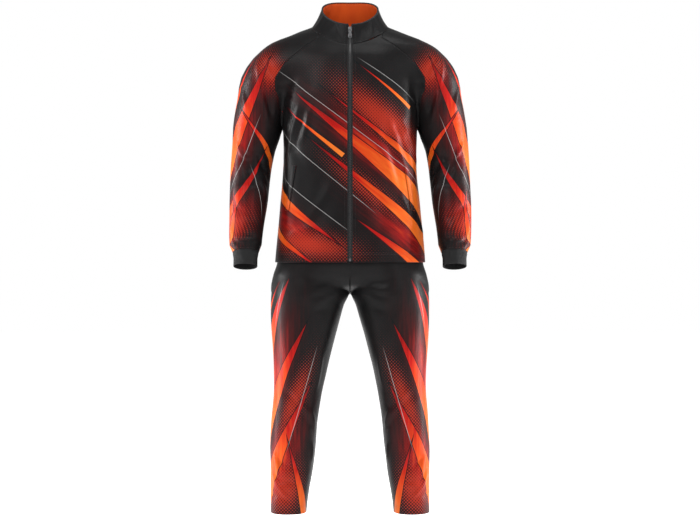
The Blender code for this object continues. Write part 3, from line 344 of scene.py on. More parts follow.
FINE_LEG_FOLDS = (
    (-1, -0.1190, -0.787, -0.085, -0.784, -0.046, -0.769, 0.0122, -0.0039),
    (-1, -0.1135, -0.823, -0.085, -0.820, -0.050, -0.800, 0.0122, -0.0048),
    (-1, -0.1055, -0.863, -0.090, -0.860, -0.071, -0.850, 0.0098, -0.0025),
    (-1, -0.0845, -0.984, -0.091, -1.040, -0.101, -1.100, 0.0098, 0.0048),
    (-1, -0.1740, -1.095, -0.142, -1.152, -0.111, -1.205, 0.0085, 0.0062),
    (-1, -0.1214, -1.157, -0.113, -1.179, -0.106, -1.218, 0.0073, 0.0048),
    (-1, -0.1650, -1.120, -0.137, -1.185, -0.109, -1.230, 0.0073, -0.0043),
    (-1, -0.2290, -1.289, -0.221, -1.315, -0.216, -1.360, 0.0061, 0.0057),
    (-1, -0.2240, -1.310, -0.205, -1.328, -0.182, -1.336, 0.0073, -0.0065),
    (-1, -0.2260, -1.370, -0.208, -1.376, -0.169, -1.381, 0.0073, -0.0065),
    (-1, -0.2160, -1.389, -0.200, -1.418, -0.179, -1.434, 0.0061, 0.0057),
    (-1, -0.2380, -1.420, -0.216, -1.426, -0.179, -1.436, 0.0073, -0.0077),
    (-1, -0.2380, -1.328, -0.229, -1.368, -0.216, -1.397, 0.0073, 0.0043),
    (-1, -0.1150, -1.263, -0.112, -1.276, -0.1145, -1.323, 0.0073, 0.0039),
    (1, -0.0400, -0.835, -0.080, -0.850, -0.140, -0.845, 0.0122, -0.0057),
    (1, -0.0450, -0.905, -0.090, -0.915, -0.130, -0.905, 0.0122, -0.0043),
    (1, -0.1150, -1.090, -0.150, -1.102, -0.205, -1.090, 0.0098, -0.0065),
    (1, -0.1100, -1.150, -0.155, -1.165, -0.205, -1.150, 0.0098, 0.0057),
    (1, -0.1250, -1.230, -0.160, -1.240, -0.205, -1.225, 0.0098, -0.0048),
    (1, -0.2200, -1.310, -0.190, -1.330, -0.150, -1.330, 0.0085, -0.0057),
    (1, -0.2250, -1.380, -0.190, -1.395, -0.150, -1.390, 0.0073, 0.0057),
    (1, -0.2250, -1.425, -0.195, -1.436, -0.160, -1.430, 0.0073, -0.0065),
)
# Soft upright creases of the collar: turn round the neck at its foot and at its rim, in degrees
# low_turn, high_turn, width, height
COLLAR_CREASES = (
    (-63, -66, 0.007, 0.0018),
    (-48, -40, 0.008, -0.0016),
    (-12, -28, 0.007, -0.0016),
    (14, 26, 0.007, -0.0018),
    (33, 46, 0.007, 0.0016),
    (58, 62, 0.008, -0.0014),
    (96, 92, 0.010, 0.0014),
    (150, 146, 0.012, -0.0014),
    (178, 183, 0.012, 0.0012),
    (214, 209, 0.012, -0.0014),
    (262, 266, 0.010, 0.0014),
)

# The print: straight shards that taper from a slanted foot to a point, soft glows, dots and fine lines.
# Shards: foot_x, foot_z, tip_x, tip_z, half_width. The last drawn lies on top.
# Patches: middle_x, middle_z, reach_x, reach_z, turn, strength
# Lines: from_x, from_z, to_x, to_z
JACKET_SHARDS = (
    (0.320, -0.805, 0.020, -0.590, 0.024),
    (0.320, -0.705, -0.120, -0.350, 0.024),
    (0.320, -0.510, -0.060, -0.215, 0.016),
    (0.320, -0.606, -0.175, -0.205, 0.036),
    (-0.020, -0.400, -0.215, -0.245, 0.007),
    (-0.320, -0.455, -0.030, -0.665, 0.024),
    (-0.320, -0.580, -0.090, -0.735, 0.017),
    (0.190, -0.255, 0.030, -0.130, 0.006),
)
JACKET_LINES = (
    (-0.240, -0.130, 0.265, -0.505),
    (-0.255, -0.305, 0.080, -0.575),
    (0.020, -0.105, 0.225, -0.240),
    (-0.265, -0.430, 0.010, -0.635),
)
JACKET_GLOWS = (
    (0.080, -0.395, 0.230, 0.050, -39, 0.95),
    (0.170, -0.640, 0.160, 0.045, -35, 0.8),
    (-0.190, -0.600, 0.130, 0.050, -36, 0.8),
    (0.250, -0.390, 0.070, 0.060, 0, 0.6),
)
JACKET_DOTS = (
    (0.110, -0.300, 0.190, 0.050, -38, 0.95),
    (-0.120, -0.665, 0.150, 0.045, -10, 0.9),
    (0.050, -0.500, 0.150, 0.035, -38, 0.7),
)
BACK_SHARDS = (
    (0.350, -0.525, 0.000, -0.810, 0.038),
    (0.350, -0.440, 0.050, -0.690, 0.017),
    (0.350, -0.630, 0.140, -0.800, 0.022),
    (-0.350, -0.500, -0.010, -0.250, 0.026),
    (-0.350, -0.630, -0.100, -0.420, 0.018),
    (0.060, -0.160, 0.210, -0.330, 0.006),
)
BACK_LINES = (
    (0.250, -0.330, 0.010, -0.540),
    (-0.260, -0.340, -0.040, -0.170),
    (-0.270, -0.660, 0.050, -0.400),
)
BACK_GLOWS = (
    (0.200, -0.570, 0.180, 0.055, 39, 0.85),
    (-0.180, -0.430, 0.150, 0.055, -37, 0.85),
)
BACK_DOTS = (
    (0.060, -0.620, 0.160, 0.050, 39, 0.8),
    (-0.080, -0.300, 0.150, 0.045, -37, 0.8),
)
# The sleeve lies flat from 0.14 under the arm and 0.26 in front to 0.40 outside and 0.56 behind
SLEEVE_SHARDS = (
    (0.600, -0.660, 0.410, -0.250, 0.034),
    (0.470, -0.560, 0.225, -0.100, 0.046),
    (0.440, -0.360, 0.290, -0.080, 0.016),
    (0.170, -0.470, 0.330, -0.255, 0.016),
    (0.460, -0.790, 0.250, -0.385, 0.040),
    (0.255, -0.735, 0.350, -0.490, 0.016),
    (0.580, -0.480, 0.440, -0.160, 0.018),
)
SLEEVE_LINES = (
    (0.400, -0.585, 0.262, -0.270),
    (0.215, -0.590, 0.300, -0.420),
    (0.530, -0.620, 0.430, -0.330),
)
SLEEVE_GLOWS = (
    (0.340, -0.350, 0.055, 0.130, 25, 0.85),
    (0.330, -0.600, 0.090, 0.090, 25, 0.95),
    (0.250, -0.170, 0.060, 0.080, 20, 0.6),
    (0.500, -0.450, 0.060, 0.120, 25, 0.8),
)
SLEEVE_DOTS = (
    (0.225, -0.140, 0.065, 0.050, 35, 0.95),
    (0.300, -0.620, 0.060, 0.070, 0, 0.8),
    (0.490, -0.330, 0.055, 0.075, 0, 0.8),
)
# A trouser front lies flat from its inner seam at 0.02 to its outer seam at 0.24 to 0.31
LEG_SHARDS = (
    (0.360, -1.120, 0.185, -0.765, 0.050),
    (0.350, -0.930, 0.222, -0.770, 0.012),
    (0.340, -1.330, 0.130, -0.900, 0.042),
    (0.330, -1.520, 0.115, -1.080, 0.040),
    (0.112, -1.540, 0.185, -1.260, 0.020),
)
LEG_LINES = (
    (0.192, -1.290, 0.095, -0.965),
    (0.250, -0.940, 0.205, -0.770),
)
LEG_BACK_SHARDS = (
    (0.340, -0.800, 0.120, -1.360, 0.034),
    (0.330, -0.985, 0.085, -1.510, 0.034),
    (0.330, -1.180, 0.120, -1.600, 0.032),
)
LEG_BACK_LINES = ((0.230, -0.880, 0.100, -1.200),)
LEG_GLOWS = (
    (0.250, -1.080, 0.055, 0.200, 18, 0.9),
    (0.220, -1.320, 0.060, 0.160, 22, 0.95),
)
LEG_DOTS = (
    (0.165, -1.130, 0.030, 0.130, 22, 0.8),
    (0.195, -1.400, 0.055, 0.090, 10, 0.9),
)
CHARCOAL = (0.0068, 0.0068, 0.0070)
CHARCOAL_DEEP = (0.0042, 0.0042, 0.0044)
GLOW_COLOURS = (
    (0.00, (0.018, 0.001, 0.001)),
    (0.35, (0.090, 0.002, 0.002)),
    (0.70, (0.260, 0.005, 0.004)),
    (1.00, (0.440, 0.040, 0.005)),
)
SHARD_COLOURS = (
    (0.00, (0.120, 0.002, 0.002)),
    (0.25, (0.300, 0.006, 0.004)),
    (0.45, (0.420, 0.036, 0.005)),
    (0.70, (0.520, 0.092, 0.010)),
    (1.00, (0.535, 0.128, 0.018)),
)
DOT_COLOUR = (0.300, 0.020, 0.008)
OUTLINE_COLOUR = (0.0025, 0.0035, 0.0040)
LINE_COLOUR = (0.300, 0.300, 0.295)
DOT_PITCH = 0.0070
PRINT_TURN = 38  # how the streaks in the print lie, in degrees
LIMB_TURN = 90
SLEEVE_MIDDLE_Y = 0.006
SLEEVE_SPREAD = 0.040  # the print starts this far out from the arm's side
LEG_CREASE = 30  # the column down the middle of a leg
PRINT_EDGE = 0.0003
LINE_FADE = 0.06
OUTLINE_WIDTH = 0.0024
LINE_HALF_WIDTH = 0.0007
KNIT_WALE = 0.0011
KNIT_COURSE = 0.0009

# Camera, floor and lights
METRES_PER_PIXEL = 0.00305
CAMERA_DISTANCE = 4.6
CAMERA_SENSOR = 36.0
CAMERA_Z = -0.718
FLOOR_Z = -1.563
FLOOR_RADIUS = 14.0
SOFT_LIGHT = 0.5
FLOOR_GLOW = 0.6
# name, place, target, size, power
LIGHTS = (
    ("key", (-1.7, -3.0, 1.5), (0.0, 0.0, -0.5), (1.0, 1.0), 70),
    ("fill", (2.2, -3.2, 0.2), (0.0, 0.0, -0.7), (0.8, 1.8), 25),
    ("strip_left", (-2.3, 0.2, -0.5), (0.0, 0.0, -0.7), (0.4, 2.4), 120),
    ("strip_right", (2.3, 0.2, -0.5), (0.0, 0.0, -0.7), (0.4, 2.4), 130),
    ("top", (0.4, -0.8, 2.0), (0.0, 0.0, -0.3), (1.4, 0.9), 40),
)


def smooth_columns(rows, at):
    """The columns of a table beside its first one, read at any values of the first, with smooth joins."""
    table = np.array(rows, float)
    x, y = table[:, 0], table[:, 1:]
    step = np.diff(x)[:, None]
    slope = np.diff(y, axis=0) / step
    tangent = np.zeros_like(y)
    same = slope[:-1] * slope[1:] > 0
    weight = step[:-1] + step[1:]
    middle = slope[:-1] * slope[1:] * weight
    under = slope[1:] * step[:-1] + slope[:-1] * step[1:]
    tangent[1:-1] = np.where(same, middle / np.where(same, under, 1), 0)
    tangent[0], tangent[-1] = slope[0], slope[-1]
    at = np.clip(at, x[0], x[-1])
    low = np.clip(np.searchsorted(x, at) - 1, 0, len(x) - 2)
    h = step[low]
    t = ((at - x[low]) / h[:, 0])[:, None]
    start = (1 + 2 * t) * (1 - t) ** 2 * y[low] + t * (1 - t) ** 2 * h * tangent[low]
    end = t * t * (3 - 2 * t) * y[low + 1] + t * t * (t - 1) * h * tangent[low + 1]
    return (start + end).T


def unit(v):
    return v / np.maximum(np.linalg.norm(v, axis=-1, keepdims=True), 1e-12)


def lengths(line):
    """How far each point of a line lies along it."""
    return np.concatenate([[0], np.cumsum(np.linalg.norm(np.diff(line, axis=0), axis=1))])


def read_at(at, far, line):
    """The columns of a line at any distances along it."""
    return np.column_stack([np.interp(at, far, column) for column in line.T])


def curve_through(points, count):
    """A smooth line through the points, as count points evenly far apart."""
    points = np.array(points, float)
    length = lengths(points[:, :3])
    fine = np.linspace(0, length[-1], 40 * len(points))
    line = smooth_columns(np.column_stack([length, points]), fine).T
    far = lengths(line[:, :3])
    return read_at(np.linspace(0, far[-1], count), far, line)


def smooth_min(a, b, radius):
    reach = np.maximum(radius - np.abs(a - b), 0) / radius
    return np.minimum(a, b) - reach * reach * radius / 4


def level_section(x, y, half_width, front, back, power):
    """Signed distance, about, from a level section with unlike front and back depths."""
    depth = np.where(y < 0, front, back)
    ratio = (np.abs(x / half_width) ** power + np.abs(y / depth) ** power) ** (1 / power)
    return np.hypot(x, y) * (1 - 1 / np.maximum(ratio, 1e-6))


ARM_LINE = curve_through(ARM_STATIONS, 36)


def arm_field(p):
    """Signed distance, about, from the arm on the +X side."""
    start, step = ARM_LINE[:-1], np.diff(ARM_LINE, axis=0)
    along = unit(step[:, :3])
    best = np.full(len(p), 1e9)
    value = np.zeros(len(p))
    for k in range(len(start)):
        share = (p - start[k, :3]) @ step[k, :3] / (step[k, :3] @ step[k, :3])
        share = np.clip(share, 0, 1)[:, None]
        station = start[k] + share * step[k]
        off = p - station[:, :3]
        far = (off * off).sum(axis=1)
        side = np.array([-along[k, 2], 0, along[k, 0]])
        side = side / np.linalg.norm(side)
        across = off @ side
        depth2 = np.maximum(far - across**2, 0)
        ratio = np.sqrt(across**2 / station[:, 3] ** 2 + depth2 / station[:, 4] ** 2)
        near = far < best
        best = np.where(near, far, best)
        value = np.where(near, np.sqrt(far) * (1 - 1 / np.maximum(ratio, 1e-6)), value)
    return value


def jacket_field(p):
    x, y, z = np.abs(p[:, 0]), p[:, 1], p[:, 2]
    torso = level_section(x, y, *smooth_columns(TORSO_SECTIONS, z))
    arm = arm_field(np.column_stack([x, y, z]))
    low, high, tight, wide = SHOULDER_BLEND
    share = np.clip((z - low) / (high - low), 0, 1)
    return smooth_min(torso, arm, tight + (wide - tight) * share * share * (3 - 2 * share))


def trouser_field(p):
    x, y, z = p[:, 0], p[:, 1], p[:, 2]
    hip = level_section(x, y, *smooth_columns(HIP_SECTIONS, z))
    below = HIP_SECTIONS[0][0] - z
    hip = np.where(below > 0, np.maximum(hip, -HIP_END) + below * 2, hip)
    middle_x, middle_y, half_width, half_depth = smooth_columns(LEG_SECTIONS, z)
    size = (half_width, half_depth, half_depth, LEG_SQUARENESS)
    legs = [level_section(side * x - middle_x, y - middle_y, *size) for side in (-1, 1)]
    return smooth_min(smooth_min(*legs, CROTCH_BLEND), hip, HIP_BLEND)


def gradient(field, flat):
    h = 5e-4
    return np.column_stack([field(flat + h * axis) - field(flat - h * axis) for axis in np.eye(3)]) / (2 * h)


def normals(field, p):
    """Outward directions of the form at the points."""
    return unit(gradient(field, p.reshape(-1, 3))).reshape(p.shape)


def onto(field, points):
    """The points moved to the nearest places of the form."""
    flat = points.reshape(-1, 3)
    for _ in range(3):
        slope = gradient(field, flat)
        flat = flat - (field(flat) / (slope * slope).sum(axis=1))[:, None] * slope
    return flat.reshape(points.shape)


def cast(field, origin, direction, reach=0.45, steps=60):
    """The first place where a ray from inside leaves the form."""
    shape = np.broadcast_shapes(np.shape(origin), np.shape(direction))
    start = np.broadcast_to(origin, shape).reshape(-1, 3)
    way = unit(np.broadcast_to(direction, shape).reshape(-1, 3))
    low = np.zeros(len(start))
    high = np.full(len(start), reach)
    waiting = np.ones(len(start), bool)
    for k in range(1, steps + 1):
        far = reach * k / steps
        out = waiting.copy()
        out[waiting] = field(start[waiting] + far * way[waiting]) > 0
        high[out] = far
        low[out] = far - reach / steps
        waiting &= ~out
    for _ in range(16):
        middle = (low + high) / 2
        outside = field(start + middle[:, None] * way) > 0
        high = np.where(outside, middle, high)
        low = np.where(outside, low, middle)
    return (start + high[:, None] * way).reshape(shape)


def polar(points, centre, e0, e1):
    """Each point's turn about its centre, from e0 towards e1, and how far it leans out of that plane."""
    off = points - centre
    a, b = (off * e0).sum(axis=-1), (off * e1).sum(axis=-1)
    return np.arctan2(b, a), (off * np.cross(e0, e1)).sum(axis=-1) / np.hypot(a, b)


def fan(field, centre, e0, e1, turns, leans, shares):
    """Rows of points on the form, each row turning about its centre from its first to its last turn."""
    turn = turns[0][:, None] * (1 - shares) + turns[1][:, None] * shares
    lean = leans[0][:, None] * (1 - shares) + leans[1][:, None] * shares
    e0, e1, centre = e0[:, None], e1[:, None], centre[:, None]
    way = np.cos(turn)[..., None] * e0 + np.sin(turn)[..., None] * e1
    return cast(field, centre, way + lean[..., None] * np.cross(e0, e1))


def whole_rings(field, centre, e0, e1, shares):
    """Rows that turn all the way round their centres."""
    none, whole = np.zeros(len(centre)), np.full(len(centre), 2 * math.pi)
    return fan(field, centre, e0, e1, (none, whole), (none, none), shares)


def patch(field, centre, e0, e1, start, end, shares):
    """A fan whose rows begin and end at given points."""
    turn0, lean0 = polar(start, centre, e0, e1)
    turn1, lean1 = polar(end, centre, e0, e1)
    rows = fan(field, centre, e0, e1, (turn0, turn1), (lean0, lean1), shares)
    rows[:, 0], rows[:, -1] = start, end
    return without_spikes(field, centre, rows, shares)


def without_spikes(field, centre, rows, shares, closed=False):
    """The rows with those points put back that were cast across a gap into the next limb."""
    off = rows - centre[:, None]
    far = np.linalg.norm(off, axis=-1)
    good = np.ones(far.shape, bool)
    half = far.shape[1] // 2
    for order in (range(half + 1, far.shape[1]), range(half - 1, -1, -1)):
        last = far[:, half].copy()
        for j in order:
            good[:, j] = far[:, j] - last < SPIKE
            last = np.where(good[:, j], far[:, j], last)
    if not closed:
        good[:, 0] = good[:, -1] = True
    level = far.copy()
    for i in np.flatnonzero(~good.all(axis=1)):
        level[i] = np.interp(shares, shares[good[i]], far[i][good[i]], period=1 if closed else None)
    put_back = centre[:, None] + off * (level / far)[..., None]
    rows = rows.copy()
    rows[~good] = onto(field, put_back[~good])
    return rows


def level_patch(field, centre, e0, e1, start, end, shares):
    same = np.ones((len(start), 1))
    return patch(field, centre, same * np.array(e0), same * np.array(e1), start, end, shares)


def from_middle(field, x, z, y_sign, y_from=0.0):
    """Points of the form seen at (x, z) from the front (y_sign -1) or from behind (+1)."""
    x, z = np.broadcast_arrays(np.asarray(x, float), np.asarray(z, float))
    origin = np.column_stack([x.ravel(), np.full(x.size, y_from), z.ravel()])
    return cast(field, origin, np.array([0.0, y_sign, 0.0]))


def loop_point(loop, psi):
    half_width, front, back, drop, back_z, power = loop
    psi = np.asarray(psi, float)
    depth = np.where(np.cos(psi) > 0, front, back)
    level = back_z - drop * ((1 + np.cos(psi)) / 2) ** power
    return np.stack([half_width * np.sin(psi), -depth * np.cos(psi), level], axis=-1)


def neck_points(psi):
    inside = np.array([0.0, 0.0, -0.10])
    return cast(jacket_field, inside, loop_point(NECK_LOOP, psi) - inside)


def armpit_point():
    """The lowest point where sleeve and body still join, midway between front and back."""
    x = np.linspace(*ARMPIT_X, 81)
    for z in np.arange(*ARMPIT_Z, -0.0005):
        value = jacket_field(np.column_stack([x, np.zeros_like(x), np.full_like(x, z)]))
        if value.max() > 0:
            return np.array([x[value.argmax()], 0.0, z])


def raglan_seam(seen, y_sign, neck_end, armpit):
    """Points from the armpit up to the neck along a raglan seam."""
    seen = np.array(seen)
    top_down = np.vstack([seen, [[armpit[0], armpit[2]]]])
    line = curve_through(np.column_stack([top_down[:, 0], 0 * top_down[:, 0], top_down[:, 1]]), 40)
    points = from_middle(jacket_field, line[:, 0], line[:, 2], y_sign)
    points[0], points[-1] = neck_end, armpit
    return curve_through(points[::-1], RAGLAN_ROWS + 1)


def shares_of(columns):
    """Even shares, with two more beside each end, where the cloth rolls into its seam."""
    even = np.linspace(0, 1, columns + 1)
    close = even[1] * np.array(CLOSE_TO_SEAM)
    return np.concatenate([[0], close, even[1:-1], 1 - close[::-1], [1]])


def lead_into(field, rows, last):
    """Rows of a grid led into a given last row, between the sides they already have."""
    first = round((len(rows) - 1) * (1 - NECK_LEAD))
    share = np.linspace(0, 1, len(rows) - first)[:, None, None]
    between = rows[first] * (1 - share) + last * share
    across = np.linspace(0, 1, rows.shape[1])[:, None]
    off_start, off_end = rows[first:, :1] - between[:, :1], rows[first:, -1:] - between[:, -1:]
    led = rows.copy()
    led[first:] = onto(field, between + (1 - across) * off_start + across * off_end)
    led[:, 0], led[:, -1], led[-1] = rows[:, 0], rows[:, -1], last
    return led


def respaced(field, rows, shares):
    """The same rows with their points at the given shares of each row's length."""
    far = arc(rows, 1)
    moved = onto(field, np.array([read_at(shares * s[-1], s, row) for s, row in zip(far, rows)]))
    moved[:, 0], moved[:, -1], moved[-1] = rows[:, 0], rows[:, -1], rows[-1]
    return moved


def jacket_panels():
    """The outer points of the +X half: front, half of the back, and sleeve."""
    armpit = armpit_point()
    front_psi = math.asin(ZIP_HALF_OPEN / NECK_LOOP[0])
    front_top = neck_points(front_psi + (RAGLAN_END_FRONT - front_psi) * shares_of(FRONT_COLUMNS))
    back_top = neck_points(math.pi + (RAGLAN_END_BACK - math.pi) * shares_of(BACK_COLUMNS))
    sleeve_turn = RAGLAN_END_BACK - RAGLAN_END_FRONT
    sleeve_top = neck_points(RAGLAN_END_FRONT + sleeve_turn * shares_of(SLEEVE_COLUMNS))
    seams = {
        -1: raglan_seam(FRONT_RAGLAN, -1, front_top[-1], armpit),
        1: raglan_seam(BACK_RAGLAN, 1, back_top[-1], armpit),
    }
    low_z = JACKET_HEM_Z + (armpit[2] - JACKET_HEM_Z) * shares_of(BODY_ROWS_LOW)
    middle = np.column_stack([0 * low_z, 0 * low_z, low_z])
    side = cast(jacket_field, middle, np.array([1.0, 0, 0]), steps=FINE_STEPS)
    side[-1] = armpit
    panels = {}
    for name, y_sign, middle_x, top, columns in (
        ("front", -1, ZIP_HALF_OPEN, front_top, FRONT_COLUMNS),
        ("back", 1, 0.0, back_top, BACK_COLUMNS),
    ):
        seam = seams[y_sign]
        rise = (seam[:, 2] - armpit[2]) / (seam[-1, 2] - armpit[2])
        middle_z = np.concatenate([low_z, (armpit[2] + rise * (top[0, 2] - armpit[2]))[1:]])
        start = from_middle(jacket_field, middle_x, middle_z, y_sign)
        end = np.vstack([side, seam[1:]])
        start[-1] = top[0]
        centre = np.column_stack([0 * middle_z, 0 * middle_z, np.minimum(middle_z, CHEST_TOP_Z)])
        shares = shares_of(columns)
        rows = level_patch(jacket_field, centre, (0, y_sign, 0), (1, 0, 0), start, end, shares)
        panels[name] = respaced(jacket_field, lead_into(jacket_field, rows, top), shares)
    panels["sleeve"] = sleeve_rows(seams, armpit, sleeve_top)
    return panels


def arm_frame(shares):
    """Middle, direction, underarm direction and front direction of the arm at shares of its line."""
    place = np.clip(np.asarray(shares, float), 0, 1) * (len(ARM_LINE) - 1)
    station = np.arange(len(ARM_LINE))
    middle = read_at(place, station, ARM_LINE[:, :3])
    way = unit(read_at(place, station, np.gradient(ARM_LINE[:, :3], axis=0)))
    under = unit(np.stack([way[:, 2], 0 * way[:, 2], -way[:, 0]], axis=-1))
    return middle, way, under, np.cross(under, way)


def share_at_z(z):
    return np.interp(-np.asarray(z), -ARM_LINE[:, 2], np.linspace(0, 1, len(ARM_LINE)))


def nearest_share(points):
    shares = np.linspace(0, 1, 400)
    line = arm_frame(shares)[0]
    off = points[:, None, :] - line[None]
    return shares[(off * off).sum(axis=2).argmin(axis=1)]


def sleeve_rows(seams, armpit, top):
    """From the cuff seam up: whole rings below the armpit, then rows between the raglan seams."""
    cuff, pit = share_at_z([CUFF_TOP_Z, armpit[2]])
    low = cuff + (pit - cuff) * np.linspace(0, 1, SLEEVE_ROWS_LOW + 1)[:-1] ** 0.9
    shares = shares_of(SLEEVE_COLUMNS)
    middle, _, under, front = arm_frame(low)
    rings = whole_rings(jacket_field, middle, under, front, shares)
    rings = without_spikes(jacket_field, middle, rings, shares, closed=True)
    rings[:, -1] = rings[:, 0]
    start, end = seams[-1], seams[1]
    near = (nearest_share(start) + nearest_share(end)) / 2
    near = np.minimum.accumulate(np.minimum(near, pit))
    near = np.linspace(near[0], NECK_ARM_SHARE, len(near)) * EVEN_ROWS + near * (1 - EVEN_ROWS)
    middle, _, under, front = arm_frame(near)
    turn0, lean0 = polar(start, middle, under, front)
    turn1, lean1 = polar(end, middle, under, front)
    turn0[0], turn1[0] = 0, 0
    turn1 = np.where(turn1 < 1, turn1 + 2 * math.pi, turn1)
    rows = fan(jacket_field, middle, under, front, (turn0, turn1), (lean0, lean1), shares)
    rows[:, 0], rows[:, -1] = start, end
    rows = without_spikes(jacket_field, middle, rows, shares)
    return np.vstack([rings, respaced(jacket_field, lead_into(jacket_field, rows, top), shares)])


def trouser_panels():
    """The outer points of the +X leg's front and back, from the hem up to the waistband."""
    crotch = cast(trouser_field, np.array([CROTCH_SEEN_FROM]), np.array([0.0, 0, -1.0]))[0]
    crotch[2] -= CROTCH_DROP
    low_z = TROUSER_HEM_Z + (crotch[2] - TROUSER_HEM_Z) * shares_of(LEG_ROWS)
    high_z = np.linspace(crotch[2], WAISTBAND_END_Z - SEAM_GAP, HIP_ROWS + 1)[1:]
    z = np.concatenate([low_z, high_z])
    leg_x, leg_y = smooth_columns(LEG_SECTIONS, z)[:2]
    middle = np.column_stack([leg_x, leg_y, z])
    outer = cast(trouser_field, middle, np.array([1.0, 0, 0]))
    inner = cast(trouser_field, middle[: len(low_z) - 1], np.array([-1.0, 0, 0]), steps=FINE_STEPS)
    apart = inner[:, 0] > 0
    last = inner[apart][-1]
    down = ((crotch[2] - z[: len(inner)]) / (crotch[2] - last[2]))[~apart, None]
    inner[~apart] = last * down + crotch * (1 - down)
    inner = np.vstack([inner, crotch])
    panels = {}
    for name, y_sign in (("front", -1), ("back", 1)):
        rise = from_middle(trouser_field, 0 * high_z, high_z, y_sign, crotch[1])
        start = np.vstack([inner, rise])
        shares = shares_of(LEG_COLUMNS)
        panels[name] = level_patch(trouser_field, middle, (-1, 0, 0), (0, y_sign, 0), start, outer, shares)
    return panels


# Largest folds. Each runs along a soft bend between three places and swells or sinks the wall.
# On the body and the trousers a place is x, z seen from the front, which is y_sign -1, or from behind, 1.
# y_sign, from_x, from_z, by_x, by_z, to_x, to_z, width, height
JACKET_FOLDS = (
    (-1, 0.196, -0.285, 0.165, -0.300, 0.110, -0.335, 0.016, -0.0045),
    (-1, 0.198, -0.310, 0.170, -0.345, 0.120, -0.420, 0.018, -0.0035),
    (-1, 0.190, -0.222, 0.165, -0.212, 0.120, -0.190, 0.020, -0.0030),
    (-1, -0.196, -0.280, -0.160, -0.290, -0.105, -0.320, 0.016, -0.0045),
    (-1, -0.199, -0.320, -0.175, -0.365, -0.130, -0.450, 0.018, -0.0035),
    (-1, -0.188, -0.218, -0.160, -0.204, -0.118, -0.188, 0.020, -0.0030),
    (-1, 0.060, -0.480, 0.095, -0.540, 0.110, -0.640, 0.024, -0.0030),
    (-1, -0.070, -0.430, -0.100, -0.520, -0.105, -0.650, 0.024, -0.0030),
    (-1, 0.190, -0.600, 0.150, -0.625, 0.090, -0.630, 0.018, 0.0030),
    (-1, -0.190, -0.590, -0.150, -0.612, -0.100, -0.622, 0.018, 0.0030),
    (1, 0.190, -0.275, 0.140, -0.300, 0.060, -0.330, 0.020, -0.0050),
    (1, -0.190, -0.280, -0.135, -0.310, -0.050, -0.345, 0.020, -0.0050),
    (1, 0.170, -0.480, 0.090, -0.455, 0.000, -0.470, 0.022, -0.0050),
    (1, -0.175, -0.520, -0.100, -0.500, -0.010, -0.515, 0.022, -0.0045),
    (1, 0.150, -0.570, 0.080, -0.552, -0.030, -0.560, 0.020, 0.0040),
    (1, 0.070, -0.120, 0.080, -0.200, 0.075, -0.290, 0.022, -0.0035),
    (1, -0.075, -0.125, -0.085, -0.210, -0.078, -0.300, 0.022, -0.0035),
)
TROUSER_FOLDS = (
    (-1, 0.035, -0.790, 0.070, -0.778, 0.125, -0.762, 0.020, -0.0035),
    (-1, 0.030, -0.822, 0.070, -0.838, 0.120, -0.868, 0.020, -0.0035),
    (-1, -0.035, -0.786, -0.075, -0.775, -0.130, -0.768, 0.020, -0.0035),
    (-1, -0.030, -0.826, -0.065, -0.848, -0.112, -0.885, 0.020, -0.0035),
    (-1, 0.200, -1.110, 0.165, -1.140, 0.120, -1.150, 0.015, -0.0035),
    (-1, -0.205, -1.100, -0.165, -1.130, -0.120, -1.135, 0.015, -0.0035),
    (-1, 0.215, -1.290, 0.180, -1.320, 0.135, -1.360, 0.016, -0.0045),
    (-1, 0.225, -1.400, 0.190, -1.375, 0.150, -1.390, 0.015, 0.0040),
    (-1, -0.215, -1.300, -0.175, -1.335, -0.135, -1.345, 0.016, -0.0045),
    (-1, -0.228, -1.385, -0.195, -1.395, -0.150, -1.420, 0.015, 0.0040),
    (1, 0.030, -0.760, 0.080, -0.790, 0.160, -0.800, 0.018, -0.0055),
    (1, -0.030, -0.765, -0.085, -0.795, -0.165, -0.798, 0.018, -0.0055),
    (1, 0.040, -0.860, 0.100, -0.880, 0.190, -0.870, 0.018, -0.0045),
    (1, -0.040, -0.855, -0.100, -0.880, -0.195, -0.880, 0.018, -0.0045),
    (1, 0.110, -1.120, 0.165, -1.135, 0.215, -1.110, 0.016, -0.0055),
    (1, -0.110, -1.125, -0.165, -1.145, -0.215, -1.125, 0.016, -0.0055),
    (1, 0.115, -1.190, 0.165, -1.200, 0.215, -1.175, 0.016, -0.0045),
    (1, -0.115, -1.185, -0.165, -1.205, -0.215, -1.190, 0.016, -0.0045),
    (1, 0.130, -1.350, 0.180, -1.370, 0.225, -1.350, 0.016, -0.0040),
    (1, -0.130, -1.345, -0.180, -1.375, -0.225, -1.360, 0.016, -0.0040),
)
